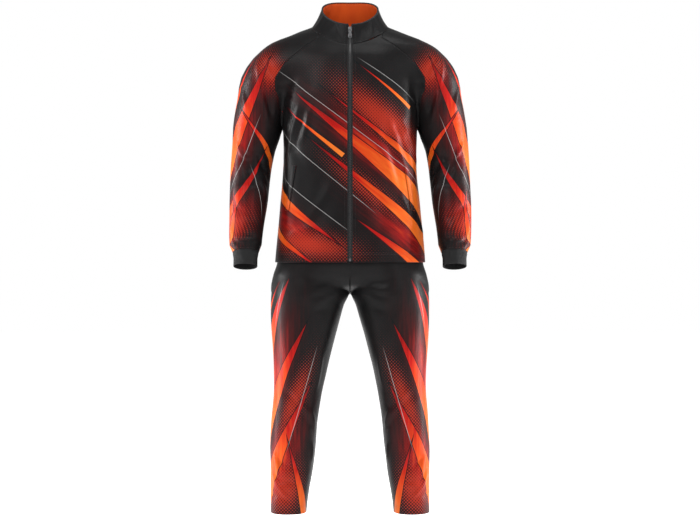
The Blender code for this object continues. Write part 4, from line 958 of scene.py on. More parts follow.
# On a sleeve a place is a height on the arm and a turn in degrees, 0 under the arm, 90 in front,
# 180 outside and 270 behind. arm: 1 is +X, -1 is -X.
# arm, from_z, from_turn, by_z, by_turn, to_z, to_turn, width, height
SLEEVE_FOLDS = (
    (1, -0.380, 20, -0.405, 60, -0.400, 115, 0.014, -0.0050),
    (1, -0.430, 15, -0.450, 70, -0.430, 135, 0.014, -0.0060),
    (1, -0.480, 25, -0.490, 75, -0.515, 125, 0.013, -0.0045),
    (1, -0.455, 330, -0.460, 290, -0.440, 240, 0.015, 0.0050),
    (1, -0.560, 140, -0.590, 95, -0.600, 40, 0.013, -0.0040),
    (1, -0.640, 50, -0.655, 100, -0.645, 160, 0.011, -0.0045),
    (1, -0.650, 200, -0.660, 250, -0.648, 310, 0.011, -0.0045),
    (1, -0.250, 110, -0.330, 100, -0.400, 120, 0.018, -0.0040),
    (1, -0.300, 150, -0.380, 165, -0.450, 150, 0.018, -0.0030),
    (-1, -0.375, 20, -0.395, 70, -0.385, 120, 0.014, -0.0050),
    (-1, -0.420, 15, -0.445, 65, -0.435, 130, 0.014, -0.0060),
    (-1, -0.475, 30, -0.500, 80, -0.500, 135, 0.013, -0.0045),
    (-1, -0.450, 335, -0.465, 285, -0.445, 235, 0.015, 0.0050),
    (-1, -0.570, 145, -0.585, 90, -0.610, 45, 0.013, -0.0040),
    (-1, -0.642, 45, -0.658, 95, -0.642, 150, 0.011, -0.0045),
    (-1, -0.648, 205, -0.662, 255, -0.650, 315, 0.011, -0.0045),
    (-1, -0.245, 105, -0.320, 95, -0.395, 110, 0.018, -0.0040),
    (-1, -0.310, 155, -0.390, 160, -0.460, 145, 0.018, -0.0030),
)


def soft_bend(a, b, c, count=9):
    t = np.linspace(0, 1, count)[:, None]
    return (1 - t) ** 2 * a + 2 * t * (1 - t) * b + t * t * c


def body_folds(field, rows):
    found = []
    for y_sign, x0, z0, x1, z1, x2, z2, width, height in rows:
        ends = from_middle(field, (x0, x1, x2), (z0, z1, z2), y_sign)
        found.append((soft_bend(*ends), width, height))
    return found


def sleeve_folds(rows):
    found = []
    for arm, z0, turn0, z1, turn1, z2, turn2, width, height in rows:
        z = soft_bend(*np.array([[z0], [z1], [z2]]))[:, 0]
        turn = np.radians(soft_bend(*np.array([[turn0], [turn1], [turn2]], float))[:, 0])
        middle, _, under, front = arm_frame(share_at_z(z))
        way = np.cos(turn)[:, None] * under + np.sin(turn)[:, None] * front
        line = cast(jacket_field, middle, way)
        found.append((line * [arm, 1, 1], width, height))
    return found


def fold_depth(points, folds):
    """How far the folds move the wall at each point, out or in."""
    flat = points.reshape(-1, 3)
    moved = np.zeros(len(flat))
    for line, width, height in folds:
        near = np.all((flat > line.min(axis=0) - 3 * width) & (flat < line.max(axis=0) + 3 * width), axis=1)
        if not near.any():
            continue
        here = flat[near]
        best = np.full(len(here), 1e9)
        place = np.zeros(len(here))
        for k in range(len(line) - 1):
            step = line[k + 1] - line[k]
            share = np.clip((here - line[k]) @ step / (step @ step), 0, 1)
            off = here - line[k] - share[:, None] * step
            far = (off * off).sum(axis=1)
            place = np.where(far < best, (k + share) / (len(line) - 1), place)
            best = np.minimum(best, far)
        fade = np.sin(math.pi * np.clip(place, 0, 1)) ** 0.8
        moved[near] += height * np.exp(-best / width**2) * (0.15 + 0.85 * fade)
    return moved.reshape(points.shape[:-1])


def other_side(rows):
    """The same creases on the other side, each a little moved and of another height."""
    found = []
    for k, (y_sign, x0, z0, x1, z1, x2, z2, width, height) in enumerate(rows):
        lift, scale = WAVY * math.sin(2.3 * k + 1), 1 + 0.25 * math.sin(1.7 * k)
        found.append((y_sign, -x0, z0 + lift, -x1, z1 - lift / 2, -x2, z2 + lift, width, height * scale))
    return tuple(found)


JACKET_PATCHES = (JACKET_GLOWS, JACKET_DOTS)
BACK_PATCHES = (BACK_GLOWS, BACK_DOTS)
SLEEVE_PATCHES = (SLEEVE_GLOWS, SLEEVE_DOTS)
LEG_PATCHES = (LEG_GLOWS, LEG_DOTS)
NO_PATCHES = ((), ())
OUTER = {}  # each panel's outer points and outward directions, for its stitches


def uneven(points, seed, size, height):
    """Soft unevenness of worn cloth, as slanted waves of unlike lengths."""
    random = np.random.default_rng(seed)
    flat = points.reshape(-1, 3)
    total = np.zeros(len(flat))
    for _ in range(9):
        way = unit(random.normal(size=3) * (1.0, 1.0, 0.5))
        length = size * random.uniform(0.6, 1.9)
        total += np.sin(2 * math.pi * (flat @ way) / length + random.uniform(0, 2 * math.pi))
    return (height * total / 3).reshape(points.shape[:-1])


def arc(points, axis):
    """How far each point of a grid lies along its row (axis 1) or its column (axis 0)."""
    steps = np.linalg.norm(np.diff(points, axis=axis), axis=-1)
    start = np.zeros_like(steps.take([0], axis=axis))
    return np.concatenate([start, np.cumsum(steps, axis=axis)], axis=axis)


def shell(name, outer, outward, thickness, paint, closed_rows=0, marks=None):
    """A closed sheet of cloth between an outer grid and its inner face, with rounded edges."""
    rows, columns = outer.shape[:2]
    index = np.arange(rows * columns).reshape(rows, columns)
    index[:closed_rows, -1] = index[:closed_rows, 0]
    corners = (index[:-1, :-1], index[:-1, 1:], index[1:, 1:], index[1:, :-1])
    quads = np.stack(corners, axis=-1).reshape(-1, 4)
    points, out = outer.reshape(-1, 3), outward.reshape(-1, 3)
    across, up = points[quads[:, 2]] - points[quads[:, 0]], points[quads[:, 3]] - points[quads[:, 1]]
    if (np.cross(across, up) * out[quads[:, 0]]).sum() < 0:
        quads = quads[:, ::-1]
    count = len(points)
    edges = np.concatenate([quads[:, [k, (k + 1) % 4]] for k in range(4)])
    edges = edges[edges[:, 0] != edges[:, 1]]
    _, first, times = np.unique(np.sort(edges, axis=1) @ [count, 1], return_index=True, return_counts=True)
    a, b = edges[first[times == 1]].T
    away = np.zeros_like(points)
    side = np.cross(unit(points[b] - points[a]), out[a])
    np.add.at(away, a, side)
    np.add.at(away, b, side)
    inner = points - thickness * out
    middle = (points + inner) / 2 + RIM_BULGE * thickness * unit(away)
    low = 2 * count
    rim = [np.stack(f, axis=1) for f in ((b, a, a + low, b + low), (b + low, a + low, a + count, b + count))]
    faces = np.concatenate([quads, quads[:, ::-1] + count, *rim])
    return mesh_object(name, np.concatenate([points, inner, middle]), faces, paint, marks)


def in_scene(name, data):
    made = bpy.data.objects.new(name, data)
    bpy.context.scene.collection.objects.link(made)
    return made


def smooth_object(name, mesh, paint, sharp_from=None):
    """A smooth object. Edges that turn by sharp_from degrees or more stay sharp."""
    mesh.materials.append(paint)
    mesh.shade_smooth()
    if sharp_from:
        mesh.set_sharp_from_angle(angle=math.radians(sharp_from))
    return in_scene(name, mesh)


def mesh_object(name, points, faces, paint, marks=None):
    """A smooth object from arrays. marks are numbers for its outer points, and 0 on the inner side."""
    used, faces = np.unique(faces, return_inverse=True)
    faces = faces.reshape(-1, 4)
    mesh = bpy.data.meshes.new(name)
    mesh.from_pydata(points[used].tolist(), [], faces.tolist())
    mesh.validate()
    for key, values in (marks or {}).items():
        whole = np.zeros(len(points))
        whole[: values.size] = values.ravel()
        mesh.attributes.new(key, "FLOAT", "POINT").data.foreach_set("value", whole[used])
    return smooth_object(name, mesh, paint)


def place(made, slot, nodes=(), body="garment"):
    """Says which body a piece rides on, and the solids that it stands for; slot is not used."""
    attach(made, body)
    if nodes:
        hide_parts(*nodes)
    return made


def declare_cut(made, flat_points):
    """Measures the widest row and the longest column of a piece's points, and keeps neither."""
    width = arc(flat_points, 1)[:, -1].max()
    length = arc(flat_points, 0)[-1].max()


def laid_flat(points, column, there):
    """How far across each point lies when its row is laid flat from a column, whose place is given."""
    far = arc(points, 1)
    return there + far - far[:, column : column + 1]


def sleeve_laid_flat(points):
    """The same for a sleeve, from the line along its outer side."""
    far, places = arc(points, 1), []
    for row, s in zip(points, far):
        front, behind = row[:, 1].argmin(), row[:, 1].argmax() + 1
        outside = [np.interp(SLEEVE_MIDDLE_Y, row[front:behind, 1], c[front:behind]) for c in (row[:, 0], s)]
        places.append(outside[0] + SLEEVE_SPREAD + s - outside[1])
    return np.array(places)


def patch_marks(x, z, patches):
    """Soft patches, 0 to 1."""
    total = np.zeros(x.shape)
    for middle_x, middle_z, reach_x, reach_z, turn, strength in patches:
        c, s = math.cos(math.radians(turn)), math.sin(math.radians(turn))
        u = ((x - middle_x) * c + (z - middle_z) * s) / reach_x
        v = ((z - middle_z) * c - (x - middle_x) * s) / reach_z
        total = np.maximum(total, strength * np.exp(-(u * u + v * v)))
    return total


def print_marks(points, design, flat_x):
    """The numbers that the printed cloth's finish reads at each point."""
    glows, dots = design
    return {
        "glow": patch_marks(flat_x, points[..., 2], glows),
        "dots": patch_marks(flat_x, points[..., 2], dots),
        "flat_x": flat_x,
        "across": arc(points, 1),
        "along": arc(points, 0),
    }


def cloth_panel(node, field, points, folds, sewn, design, flat_x, slot, paint, closed_rows=0, zip_side=False):
    """A panel of cloth on the form, with folds, unevenness, and edges that roll into their seams."""
    outward = normals(field, points)
    depth = fold_depth(points, folds) + uneven(points, *UNEVEN)
    if zip_side:
        from_zip = share_from_zip(points, CALM_BY_ZIP)
        depth = depth * from_zip + (1 - from_zip) ** 2 * zip_ripple(points[..., 2])
    from_edges = (
        ("first_column", arc(points, 1)),
        ("last_column", arc(points[:, ::-1], 1)[:, ::-1]),
        ("last_row", arc(points[::-1], 0)[::-1]),
    )
    for edge, steps in from_edges:
        if edge in sewn:
            depth = depth - SEAM_ROLL * np.clip(1 - steps / SEAM_ROLL_REACH, 0, 1) ** 2
    outer = points + depth[..., None] * outward
    drawn = seam_back(outer, sewn)
    if closed_rows:
        drawn[:closed_rows, 0] = drawn[:closed_rows, -1] = outer[:closed_rows, 0]
    if "first_row" in sewn:
        drawn[0] = outer[0] + SEAM_GAP / 2 * unit(outer[1] - outer[0])
    marks = print_marks(points, design, flat_x)
    made = shell(f"{node}_cloth", drawn, outward, CLOTH, paint, closed_rows, marks)
    declare_cut(place(made, slot, [node]), points)
    OUTER[node] = (drawn, outward)


def share_from_zip(points, reach):
    """0 at the zip's edge, 1 beyond a reach from it."""
    return np.clip((np.abs(points[..., 0]) - ZIP_HALF_OPEN) / reach, 0, 1)


def zip_ripple(z):
    """Small waves that the zip sews into the fronts' edges."""
    return ZIP_RIPPLE * (0.5 + 0.5 * np.sin(2 * math.pi * z / RIPPLE_PITCH + 1.4 * np.sin(z * 31)))


def seam_back(points, edges):
    """Draws the named edges of a grid back from their seams by half the gap."""
    moved = points.copy()
    half = SEAM_GAP / 2
    if "last_row" in edges:
        moved[-1] += half * unit(points[-2] - points[-1])
    if "first_column" in edges:
        moved[:, 0] += half * unit(points[:, 1] - points[:, 0])
    if "last_column" in edges:
        moved[:, -1] += half * unit(points[:, -2] - points[:, -1])
    return moved


def inset_line(node, edge, inset, start=0.0, end=1.0):
    """A line on a panel at a distance from one of its edges, with outward directions."""
    points, outward = OUTER[node]
    if edge.endswith("row"):
        points, outward = points.swapaxes(0, 1), outward.swapaxes(0, 1)
    if edge.startswith("last"):
        points, outward = points[:, ::-1], outward[:, ::-1]
    steps = arc(points, 1)
    low = np.clip((steps < inset).sum(axis=1) - 1, 0, steps.shape[1] - 2)
    pick = np.arange(len(points))
    share = ((inset - steps[pick, low]) / (steps[pick, low + 1] - steps[pick, low]))[:, None]
    line = points[pick, low] * (1 - share) + points[pick, low + 1] * share
    keep = slice(int(start * len(line)), max(int(end * len(line)), 2))
    return line[keep], outward[pick, low][keep]


def stitches(name, lines, slot, paint, length=0.0024, gap=0.0011, thick=0.00052):
    """Rows of thread stitches as one joined mesh. Each is a rounded bar that dips into the cloth."""
    points, faces = [], []
    corners = [(-0.5, 0, -0.5), (0.5, 0, -0.5)]
    corners += [(x, y, z) for x in (-0.28, 0.28) for y, z in ((0.5, 0.1), (0, 0.75), (-0.5, 0.1), (0, -0.5))]
    corners = np.array(corners)
    ring = [(2 + k, 2 + (k + 1) % 4, 6 + (k + 1) % 4, 6 + k) for k in range(4)]
    ends = [(0, 2 + (k + 1) % 4, 2 + k, 2 + k) for k in range(4)]
    ends += [(1, 6 + k, 6 + (k + 1) % 4, 6 + (k + 1) % 4) for k in range(4)]
    template = np.array(ring + ends)
    for line, outward in lines:
        far = lengths(line)
        at = np.arange(gap, far[-1] - length, length + gap) + length / 2
        middle = read_at(at, far, line)
        out = unit(read_at(at, far, outward))
        along = unit(read_at(at + 0.001, far, line) - middle)
        side = np.cross(out, along)
        for x, y, z in corners:
            points.append(middle + x * length * along + y * thick * side + z * thick * out)
        block = len(middle)
        done = sum(len(p) for p in points) - block * len(corners)
        index = done + np.arange(len(corners))[:, None] * block + np.arange(block)
        faces.append(index[template].transpose(2, 0, 1).reshape(-1, 4))
    # A corner given twice in a row makes a triangle of a quad
    lists = [tuple(dict.fromkeys(face)) for face in np.concatenate(faces).tolist()]
    place(polygons(name, np.concatenate(points).tolist(), lists, paint), slot)


def polygons(name, points, faces, paint, sharp_from=None):
    mesh = bpy.data.meshes.new(name)
    mesh.from_pydata(points, [], faces)
    return smooth_object(name, mesh, paint, sharp_from)


def make_jacket(paints, folds):
    panels = jacket_panels()
    flat_x = laid_flat(panels["front"], 0, ZIP_HALF_OPEN)
    for side, mirror in SIDES:
        cloth_panel(
            f"jacket_front_{side}", jacket_field, panels["front"] * mirror, folds,
            ("last_row", "last_column"), JACKET_PATCHES, mirror[0] * flat_x,
            "jacket_cloth", paints["jacket"], zip_side=True,
        )
        cloth_panel(
            f"sleeve_{side}", jacket_field, panels["sleeve"] * mirror, folds,
            ("first_row", "last_row", "first_column", "last_column"), SLEEVE_PATCHES,
            sleeve_laid_flat(panels["sleeve"]), "jacket_cloth",
            paints["sleeve"], closed_rows=len(panels["sleeve"]) - RAGLAN_ROWS,
        )
    half = panels["back"]
    whole = np.concatenate([half[:, ::-1] * MIRROR, half[:, 1:]], axis=1)
    cloth_panel(
        "jacket_back", jacket_field, whole, folds, ("last_row", "first_column", "last_column"),
        BACK_PATCHES, laid_flat(whole, whole.shape[1] // 2, 0), "jacket_cloth", paints["back"],
    )
    return panels


def ring_grid(field, shares, columns):
    """Rings round the arm at shares of its line."""
    middle, _, under, front = arm_frame(shares)
    rings = whole_rings(field, middle, under, front, np.linspace(0, 1, columns + 1))
    rings[:, -1] = rings[:, 0]
    return rings


def make_cuffs(paint):
    """Rib-knit tubes, with their ribs as fine waves along the wrist."""
    top = share_at_z(CUFF_TOP_Z)
    length = lengths(ARM_LINE[:, :3])[-1]
    shares = np.linspace(top + SEAM_GAP / length, top + CUFF_LENGTH / length, CUFF_ROWS + 2)
    coarse = ring_grid(jacket_field, shares, CUFF_COLUMNS)
    turn = np.linspace(0, 1, CUFF_RIBS * RIB_STEPS + 1)
    rings = np.stack([read_at(turn, np.linspace(0, 1, CUFF_COLUMNS + 1), row) for row in coarse])
    outward = normals(jacket_field, rings)
    wave = np.cos(2 * math.pi * CUFF_RIBS * turn)
    pulled = np.linspace(0, 1, len(rings))[:, None]
    deep, place_of, reach = CUFF_PULL
    depth = RIB_HEIGHT * wave - RIB_SINK - deep * np.exp(-(((pulled - place_of) / reach) ** 2))
    rings = rings + depth[..., None] * outward
    for side, mirror in SIDES:
        made = shell(f"cuff_{side}_rib", rings * mirror, outward * mirror, RIB_CLOTH, paint, len(rings))
        declare_cut(place(made, "rib_knit", [f"cuff_{side}"]), coarse)
        OUTER[f"cuff_{side}"] = (rings * mirror, outward * mirror)


def collar_grid():
    """The collar's outer points, from one zip edge round the back to the other."""
    front_psi = math.asin(ZIP_HALF_OPEN / NECK_LOOP[0])
    half = np.concatenate([
        front_psi + (RAGLAN_END_FRONT - front_psi) * shares_of(FRONT_COLUMNS),
        RAGLAN_END_FRONT + (RAGLAN_END_BACK - RAGLAN_END_FRONT) * shares_of(SLEEVE_COLUMNS)[1:],
        RAGLAN_END_BACK + (math.pi - RAGLAN_END_BACK) * shares_of(BACK_COLUMNS)[1:],
    ])
    low = neck_points(half)
    high = loop_point(RIM_LOOP, half)
    high[0, 0] = ZIP_HALF_OPEN
    rise = shares_of(COLLAR_ROWS)
    grid = low * (1 - rise[:, None, None]) + high * rise[:, None, None]
    bow = COLLAR_MIDDLE_OUT * np.sin(math.pi * rise)[:, None, None]
    grid = grid + bow * unit(grid * [1, 1, 0])
    grid[:, 0, 0] = ZIP_HALF_OPEN
    psi = np.concatenate([half, 2 * math.pi - half[::-1][1:]])
    return np.concatenate([grid, (grid * MIRROR)[:, ::-1][:, 1:]], axis=1), rise, psi


def grid_normals(grid):
    """Outward directions of a grid that stands round the neck."""
    return unit(np.cross(np.gradient(grid, axis=1), np.gradient(grid, axis=0)))


def collar_folds(rise, psi):
    """Soft upright creases round the collar."""
    depth = np.zeros((len(rise), len(psi)))
    for low_turn, high_turn, width, height in COLLAR_CREASES:
        line = np.radians(low_turn + (high_turn - low_turn) * rise)[:, None]
        off = (psi[None] - line + math.pi) % (2 * math.pi) - math.pi
        fade = np.sin(math.pi * (0.08 + 0.84 * rise))[:, None]
        depth += height * fade * np.exp(-((off * 0.09 / width) ** 2))
    return depth


def make_collar(paints):
    flat, rise, psi = collar_grid()
    outward = grid_normals(flat)
    calm = np.clip((np.abs(flat[..., 0]) - ZIP_HALF_OPEN) / 0.010 + 2.0 * (flat[..., 1] > 0), 0, 1)
    depth = (collar_folds(rise, psi) + uneven(flat, *UNEVEN_COLLAR)) * calm
    grid = flat + depth[..., None] * outward
    low_gap = SEAM_GAP / 2 * unit(grid[1] - grid[0])
    outer = grid.copy()
    outer[0] += low_gap
    marks = print_marks(outer, NO_PATCHES, outer[..., 0])
    made = shell("collar_cloth", outer, outward, CLOTH, paints["collar"], marks=marks)
    declare_cut(place(made, "jacket_cloth", ["collar"]), flat)
    OUTER["collar"] = (outer, outward)
    inside = grid.copy()
    inside[0] = grid[0] * 0.9 + grid[1] * 0.1
    inside[-1] = grid[-1] * 0.98 + grid[-2] * 0.02
    wide = np.abs(inside[..., 0]) >= LINING_FROM_MIDDLE
    keep = wide.all(axis=0) | (flat[..., 1] > 0).all(axis=0)
    face = inside[:, keep] - (CLOTH + SEAM_GAP) * outward[:, keep]
    made = shell("collar_lining_cloth", face[1:], outward[1:, keep], CLOTH, paints["lining"])
    declare_cut(place(made, "collar_lining", ["collar_lining"]), flat[:, keep])
    OUTER["collar_lining"] = (face - CLOTH * outward[:, keep], -outward[:, keep])
    rim = (outer[-1] + outer[-1] - (2 * CLOTH + SEAM_GAP) * outward[-1]) / 2
    tube("collar_binding", rim, outward[-1], BINDING, paints["binding"], "rib_knit")
    return flat


def tube(name, line, side, size, paint, slot, turns=12):
    """A rolled edge along an open line, as wide and as high as size, closed at its ends."""
    along = unit(np.gradient(line, axis=0))
    side = unit(side - (side * along).sum(axis=1)[:, None] * along)
    up = np.cross(along, side)
    if up[:, 2].sum() < 0:
        up = -up
    angle = np.linspace(0, 2 * math.pi, turns, endpoint=False)
    ring = size[0] / 2 * np.cos(angle)[None, :, None] * side[:, None]
    ring = ring + size[1] / 2 * np.sin(angle)[None, :, None] * up[:, None]
    points = (line[:, None] + ring).reshape(-1, 3)
    index = np.arange(len(points)).reshape(len(line), turns)
    beside = np.roll(index, -1, axis=1)
    walls = np.stack([index[:-1], beside[:-1], beside[1:], index[1:]], -1).reshape(-1, 4)
    faces = walls.tolist() + [index[0][::-1].tolist(), index[-1].tolist()]
    place(polygons(name, points.tolist(), faces, paint), slot)


def centre_line(front, collar):
    """The middle of the front from the hem to the collar's rim, as y, z, with outward directions."""
    line = np.vstack([front[:, 0], collar[1:, 0]])[:, 1:]
    far = lengths(line)
    even = np.linspace(ZIP_START_ABOVE_HEM, far[-1], ZIP_STATIONS)
    line = read_at(even, far, line)
    way = np.gradient(line, axis=0)
    out = unit(np.column_stack([-way[:, 1], way[:, 0]]))
    return line, out, even - even[0]


def make_zip_teeth(line, out, far, paint):
    """Two rows of coil teeth that mesh in the middle, over a cord of filler on each side."""
    start, end = far[0] + TEETH_FROM_FOOT, far[-1] - SLIDER_BELOW_TOP - TEETH_BELOW_SLIDER
    at = np.arange(start, end, TOOTH_PITCH)
    points, faces = [], []
    depth_out, depth_in = ZIP_CHAIN_DEPTH
    crown, crown_size = TOOTH_CROWN
    levels = ((depth_out, crown_size), (depth_out - crown, 1.0), (depth_in, 1.0))
    sides = len(TOOTH_OUTLINE)
    for sign, shift in ((1, 0.0), (-1, TOOTH_PITCH / 2)):
        for (y, z), (oy, oz) in zip(read_at(at + shift, far, line), read_at(at + shift, far, out)):
            first = len(points)
            for depth, shrink in levels:
                for x, t in TOOTH_OUTLINE:
                    step = t * TOOTH_PITCH * TOOTH_FATNESS * shrink
                    points.append((sign * x, y + depth * oy + step * oz, z + depth * oz - step * oy))
            faces.append(range(first, first + sides))
            faces.append(range(len(points) - 1, len(points) - 1 - sides, -1))
            for level in (first, first + sides):
                for k in range(sides):
                    m = (k + 1) % sides
                    faces.append((level + k, level + sides + k, level + sides + m, level + m))
    made = polygons("zip_teeth", points, faces, paint, TOOTH_SHARP)
    place(made, "zip_chain", ["zip_chain"])


def outline_solid(name, loops, thickness, bevel, right, up, middle, paint):
    """A plate from flat outlines, the first its edge and the others its holes, with rounded edges."""
    right, up = Vector(right), Vector(up)
    curve = bpy.data.curves.new(name, "CURVE")
    curve.dimensions = "2D"
    curve.fill_mode = "BOTH"
    curve.extrude = thickness / 2 - bevel
    curve.bevel_depth = bevel
    curve.offset = -bevel
    curve.bevel_resolution = 3
    for loop in loops:
        spline = curve.splines.new("POLY")
        spline.points.add(len(loop) - 1)
        for point, (x, y) in zip(spline.points, loop):
            point.co = (x, y, 0, 1)
        spline.use_cyclic_u = True
    shape = in_scene(name + "_outline", curve)
    mesh = bpy.data.meshes.new_from_object(shape.evaluated_get(bpy.context.evaluated_depsgraph_get()))
    bpy.data.objects.remove(shape)
    mesh.name = name
    turn = Matrix((right, up, right.cross(up))).transposed().to_4x4()
    mesh.transform(Matrix.Translation(Vector(middle)) @ turn)
    mesh.materials.clear()
    return smooth_object(name, mesh, paint, METAL_SHARP)


def rounded(half_width, bottom, top, radius_low, radius_high, waist=1.0):
    """An outline with round corners, drawn in at its top by waist."""
    points = []
    corners = ((half_width, bottom, radius_low, -90), (half_width * waist, top, radius_high, 0),
               (-half_width * waist, top, radius_high, 90), (-half_width, bottom, radius_low, 180))
    for x, y, radius, start in corners:
        cx = x - math.copysign(radius, x)
        cy = y + radius if y == bottom else y - radius
        for k in range(7):
            a = math.radians(start + 15 * k)
            points.append((cx + radius * math.cos(a), cy + radius * math.sin(a)))
    return points


def make_zip(panels, collar, paints):
    line, out, far = centre_line(panels["front"], collar)
    make_zip_teeth(line, out, far, paints["teeth"])
    right = np.array([1.0, 0, 0])
    outward = np.array([0.0, *unit(out[-2] + out[-1])])
    up = np.cross(right, outward)
    up = up if up[2] > 0 else -up
    hinge = np.array(frame["joints"][0]["pos_m"])
    middle = hinge - outward * HINGE_OUT
    metal = paints["metal"]
    half = SLIDER_LENGTH / 2
    body = rounded(SLIDER_WIDTH / 2 * SLIDER_FOOT, -half, half, *SLIDER_CORNERS, waist=SLIDER_HEAD)
    at = middle + outward * SLIDER_OUT
    plate = outline_solid("zip_slider_plate", [body], *SLIDER_DEPTH, right, up, at, metal)
    place(plate, "zip_metal", ["zip_slider"])
    arch = []
    for a in np.linspace(0, math.pi, ARCH_STEPS):
        lift = ARCH_FOOT_OUT + ARCH_RISE * math.sin(a)
        arch.append(middle + up * (ARCH_LENGTH / 2 * math.cos(a)) + outward * lift)
    size = (ARCH_WIDTH, ARCH_DEPTH)
    tube("zip_slider_bridge", np.array(arch), np.tile(right, (ARCH_STEPS, 1)), size, metal, "zip_metal")
    top, bottom = PULL_BAR / 2, PULL_BAR / 2 - PULL_LENGTH
    edge = pull_outline(top, bottom)
    window_top = -HINGE_TO_WINDOW
    corners = (WINDOW_CORNER, WINDOW_CORNER)
    window = rounded(PULL_WINDOW[0] / 2, window_top - PULL_WINDOW[1], window_top, *corners)
    hole_y = bottom + HOLE_ABOVE_FOOT + PULL_HOLE[1] / 2
    turns = np.linspace(0, 2 * math.pi, 24, endpoint=False)
    hole = [(PULL_HOLE[0] / 2 * math.cos(a), hole_y + PULL_HOLE[1] / 2 * math.sin(a)) for a in turns]
    loops = [edge, window, hole]
    pull = outline_solid("zip_pull_tab", loops, PULL_BAR, PULL_BEVEL, right, up, hinge, metal)
    place(pull, "zip_metal", ["zip_pull"], body="pull")
    cap = rounded(ZIP_CHAIN_HALF, -BOX_HALF_HEIGHT, BOX_HALF_HEIGHT, BOX_CORNER, BOX_CORNER)
    at = np.array([0.0, *(line[0] - out[0] * BOX_SUNK)]) + [0, 0, BOX_HALF_HEIGHT]
    box = outline_solid("zip_box_cap", [cap], *BOX_DEPTH, right, up, at, metal)
    place(box, "zip_metal", ["zip_box"])


def pull_outline(top, bottom):
    """A pull tab that narrows under its hinge end and swells to a round foot."""
    half = PULL_WIDTH / 2
    heights = np.linspace(0, 1, 30)
    y = top + (bottom - top) * heights
    widths = half * (0.86 - 0.30 * np.exp(-(((heights - 0.42) / 0.13) ** 2)) + 0.14 * heights)
    round_off = np.sqrt(np.clip(1 - np.clip((heights - 0.84) / 0.16, 0, 1) ** 2, 0.02, 1))
    round_top = np.sqrt(np.clip(1 - np.clip((0.05 - heights) / 0.05, 0, 1) ** 2, 0.45, 1))
    widths = widths * round_off * round_top
    side = list(zip(widths, y))
    return side + [(-x, v) for x, v in reversed(side)]


def make_welts(paints, folds, panels):
    """Slanted pocket welts, raised on the fronts, with the fronts' print carried across."""
    share = np.linspace(0, 1, WELT_ROWS + 1)
    top, end = np.array(WELT_TOP), np.array(WELT_END)
    middle = top + (end - top) * share[:, None]
    offsets = WELT_WIDTH * np.array(WELT_COLUMNS)
    across = middle[:, 0] + WELT_SLANT * offsets[:, None]
    grid = np.stack([from_middle(jacket_field, x, middle[:, 1], -1) for x in across], axis=1)
    front = panels["front"][:BODY_ROWS_LOW]
    spread = laid_flat(front, 0, ZIP_HALF_OPEN) - front[..., 0]
    rows = np.abs(front[:, 0, 2] - grid[..., 2, None]).argmin(axis=2)
    beyond = np.array([
        [np.interp(x, front[i, :, 0], spread[i]) for x, i in zip(*pair)] for pair in zip(grid[..., 0], rows)
    ])
    for side, mirror in SIDES:
        points = grid * mirror
        outward = normals(jacket_field, points)
        depth = fold_depth(points, folds) + uneven(points, *UNEVEN)
        from_zip = share_from_zip(points, CALM_BY_ZIP)
        crown = WELT_CROWN * np.sin(math.pi * np.linspace(0, 1, len(offsets)))
        outer = points + (depth * from_zip + SEAM_GAP + CLOTH + crown)[..., None] * outward
        marks = print_marks(outer, JACKET_PATCHES, mirror[0] * (grid[..., 0] + beyond))
        made = shell(f"pocket_welt_{side}_cloth", outer, outward, CLOTH, paints["jacket"], marks=marks)
        declare_cut(place(made, "jacket_cloth", [f"pocket_welt_{side}"]), points)
        OUTER[f"pocket_welt_{side}"] = (outer, outward)


def make_trousers(paints, folds):
    panels = trouser_panels()
    for side, mirror in SIDES:
        for name in ("front", "back"):
            cloth_panel(
                f"trousers_{name}_{side}", trouser_field, panels[name] * mirror, folds,
                ("last_row", "first_column", "last_column"), LEG_PATCHES,
                laid_flat(panels[name], LEG_CREASE, panels[name][:, LEG_CREASE, :1]), "trouser_cloth",
                paints[f"trousers_{name}"],
            )


def make_waistband(paint):
    """A ribbed band round the trousers' top, under the jacket."""
    z = np.linspace(WAISTBAND_END_Z, WAIST_TOP_Z, WAIST_ROWS)
    centre = np.column_stack([0 * z, 0 * z, z])
    e0, e1 = np.tile([0.0, -1, 0], (WAIST_ROWS, 1)), np.tile([1.0, 0, 0], (WAIST_ROWS, 1))
    turn = np.linspace(0, 1, WAIST_COLUMNS + 1)
    flat = whole_rings(trouser_field, centre, e0, e1, turn)
    flat[:, -1] = flat[:, 0]
    outward = normals(trouser_field, flat)
    wave = np.cos(2 * math.pi * WAIST_RIBS * turn)
    rings = flat + (RIB_SINK * wave - RIB_SINK)[None, :, None] * outward
    made = shell("waistband_rib", rings, outward, RIB_CLOTH, paint, len(rings))
    declare_cut(place(made, "rib_knit", ["waistband"]), flat)


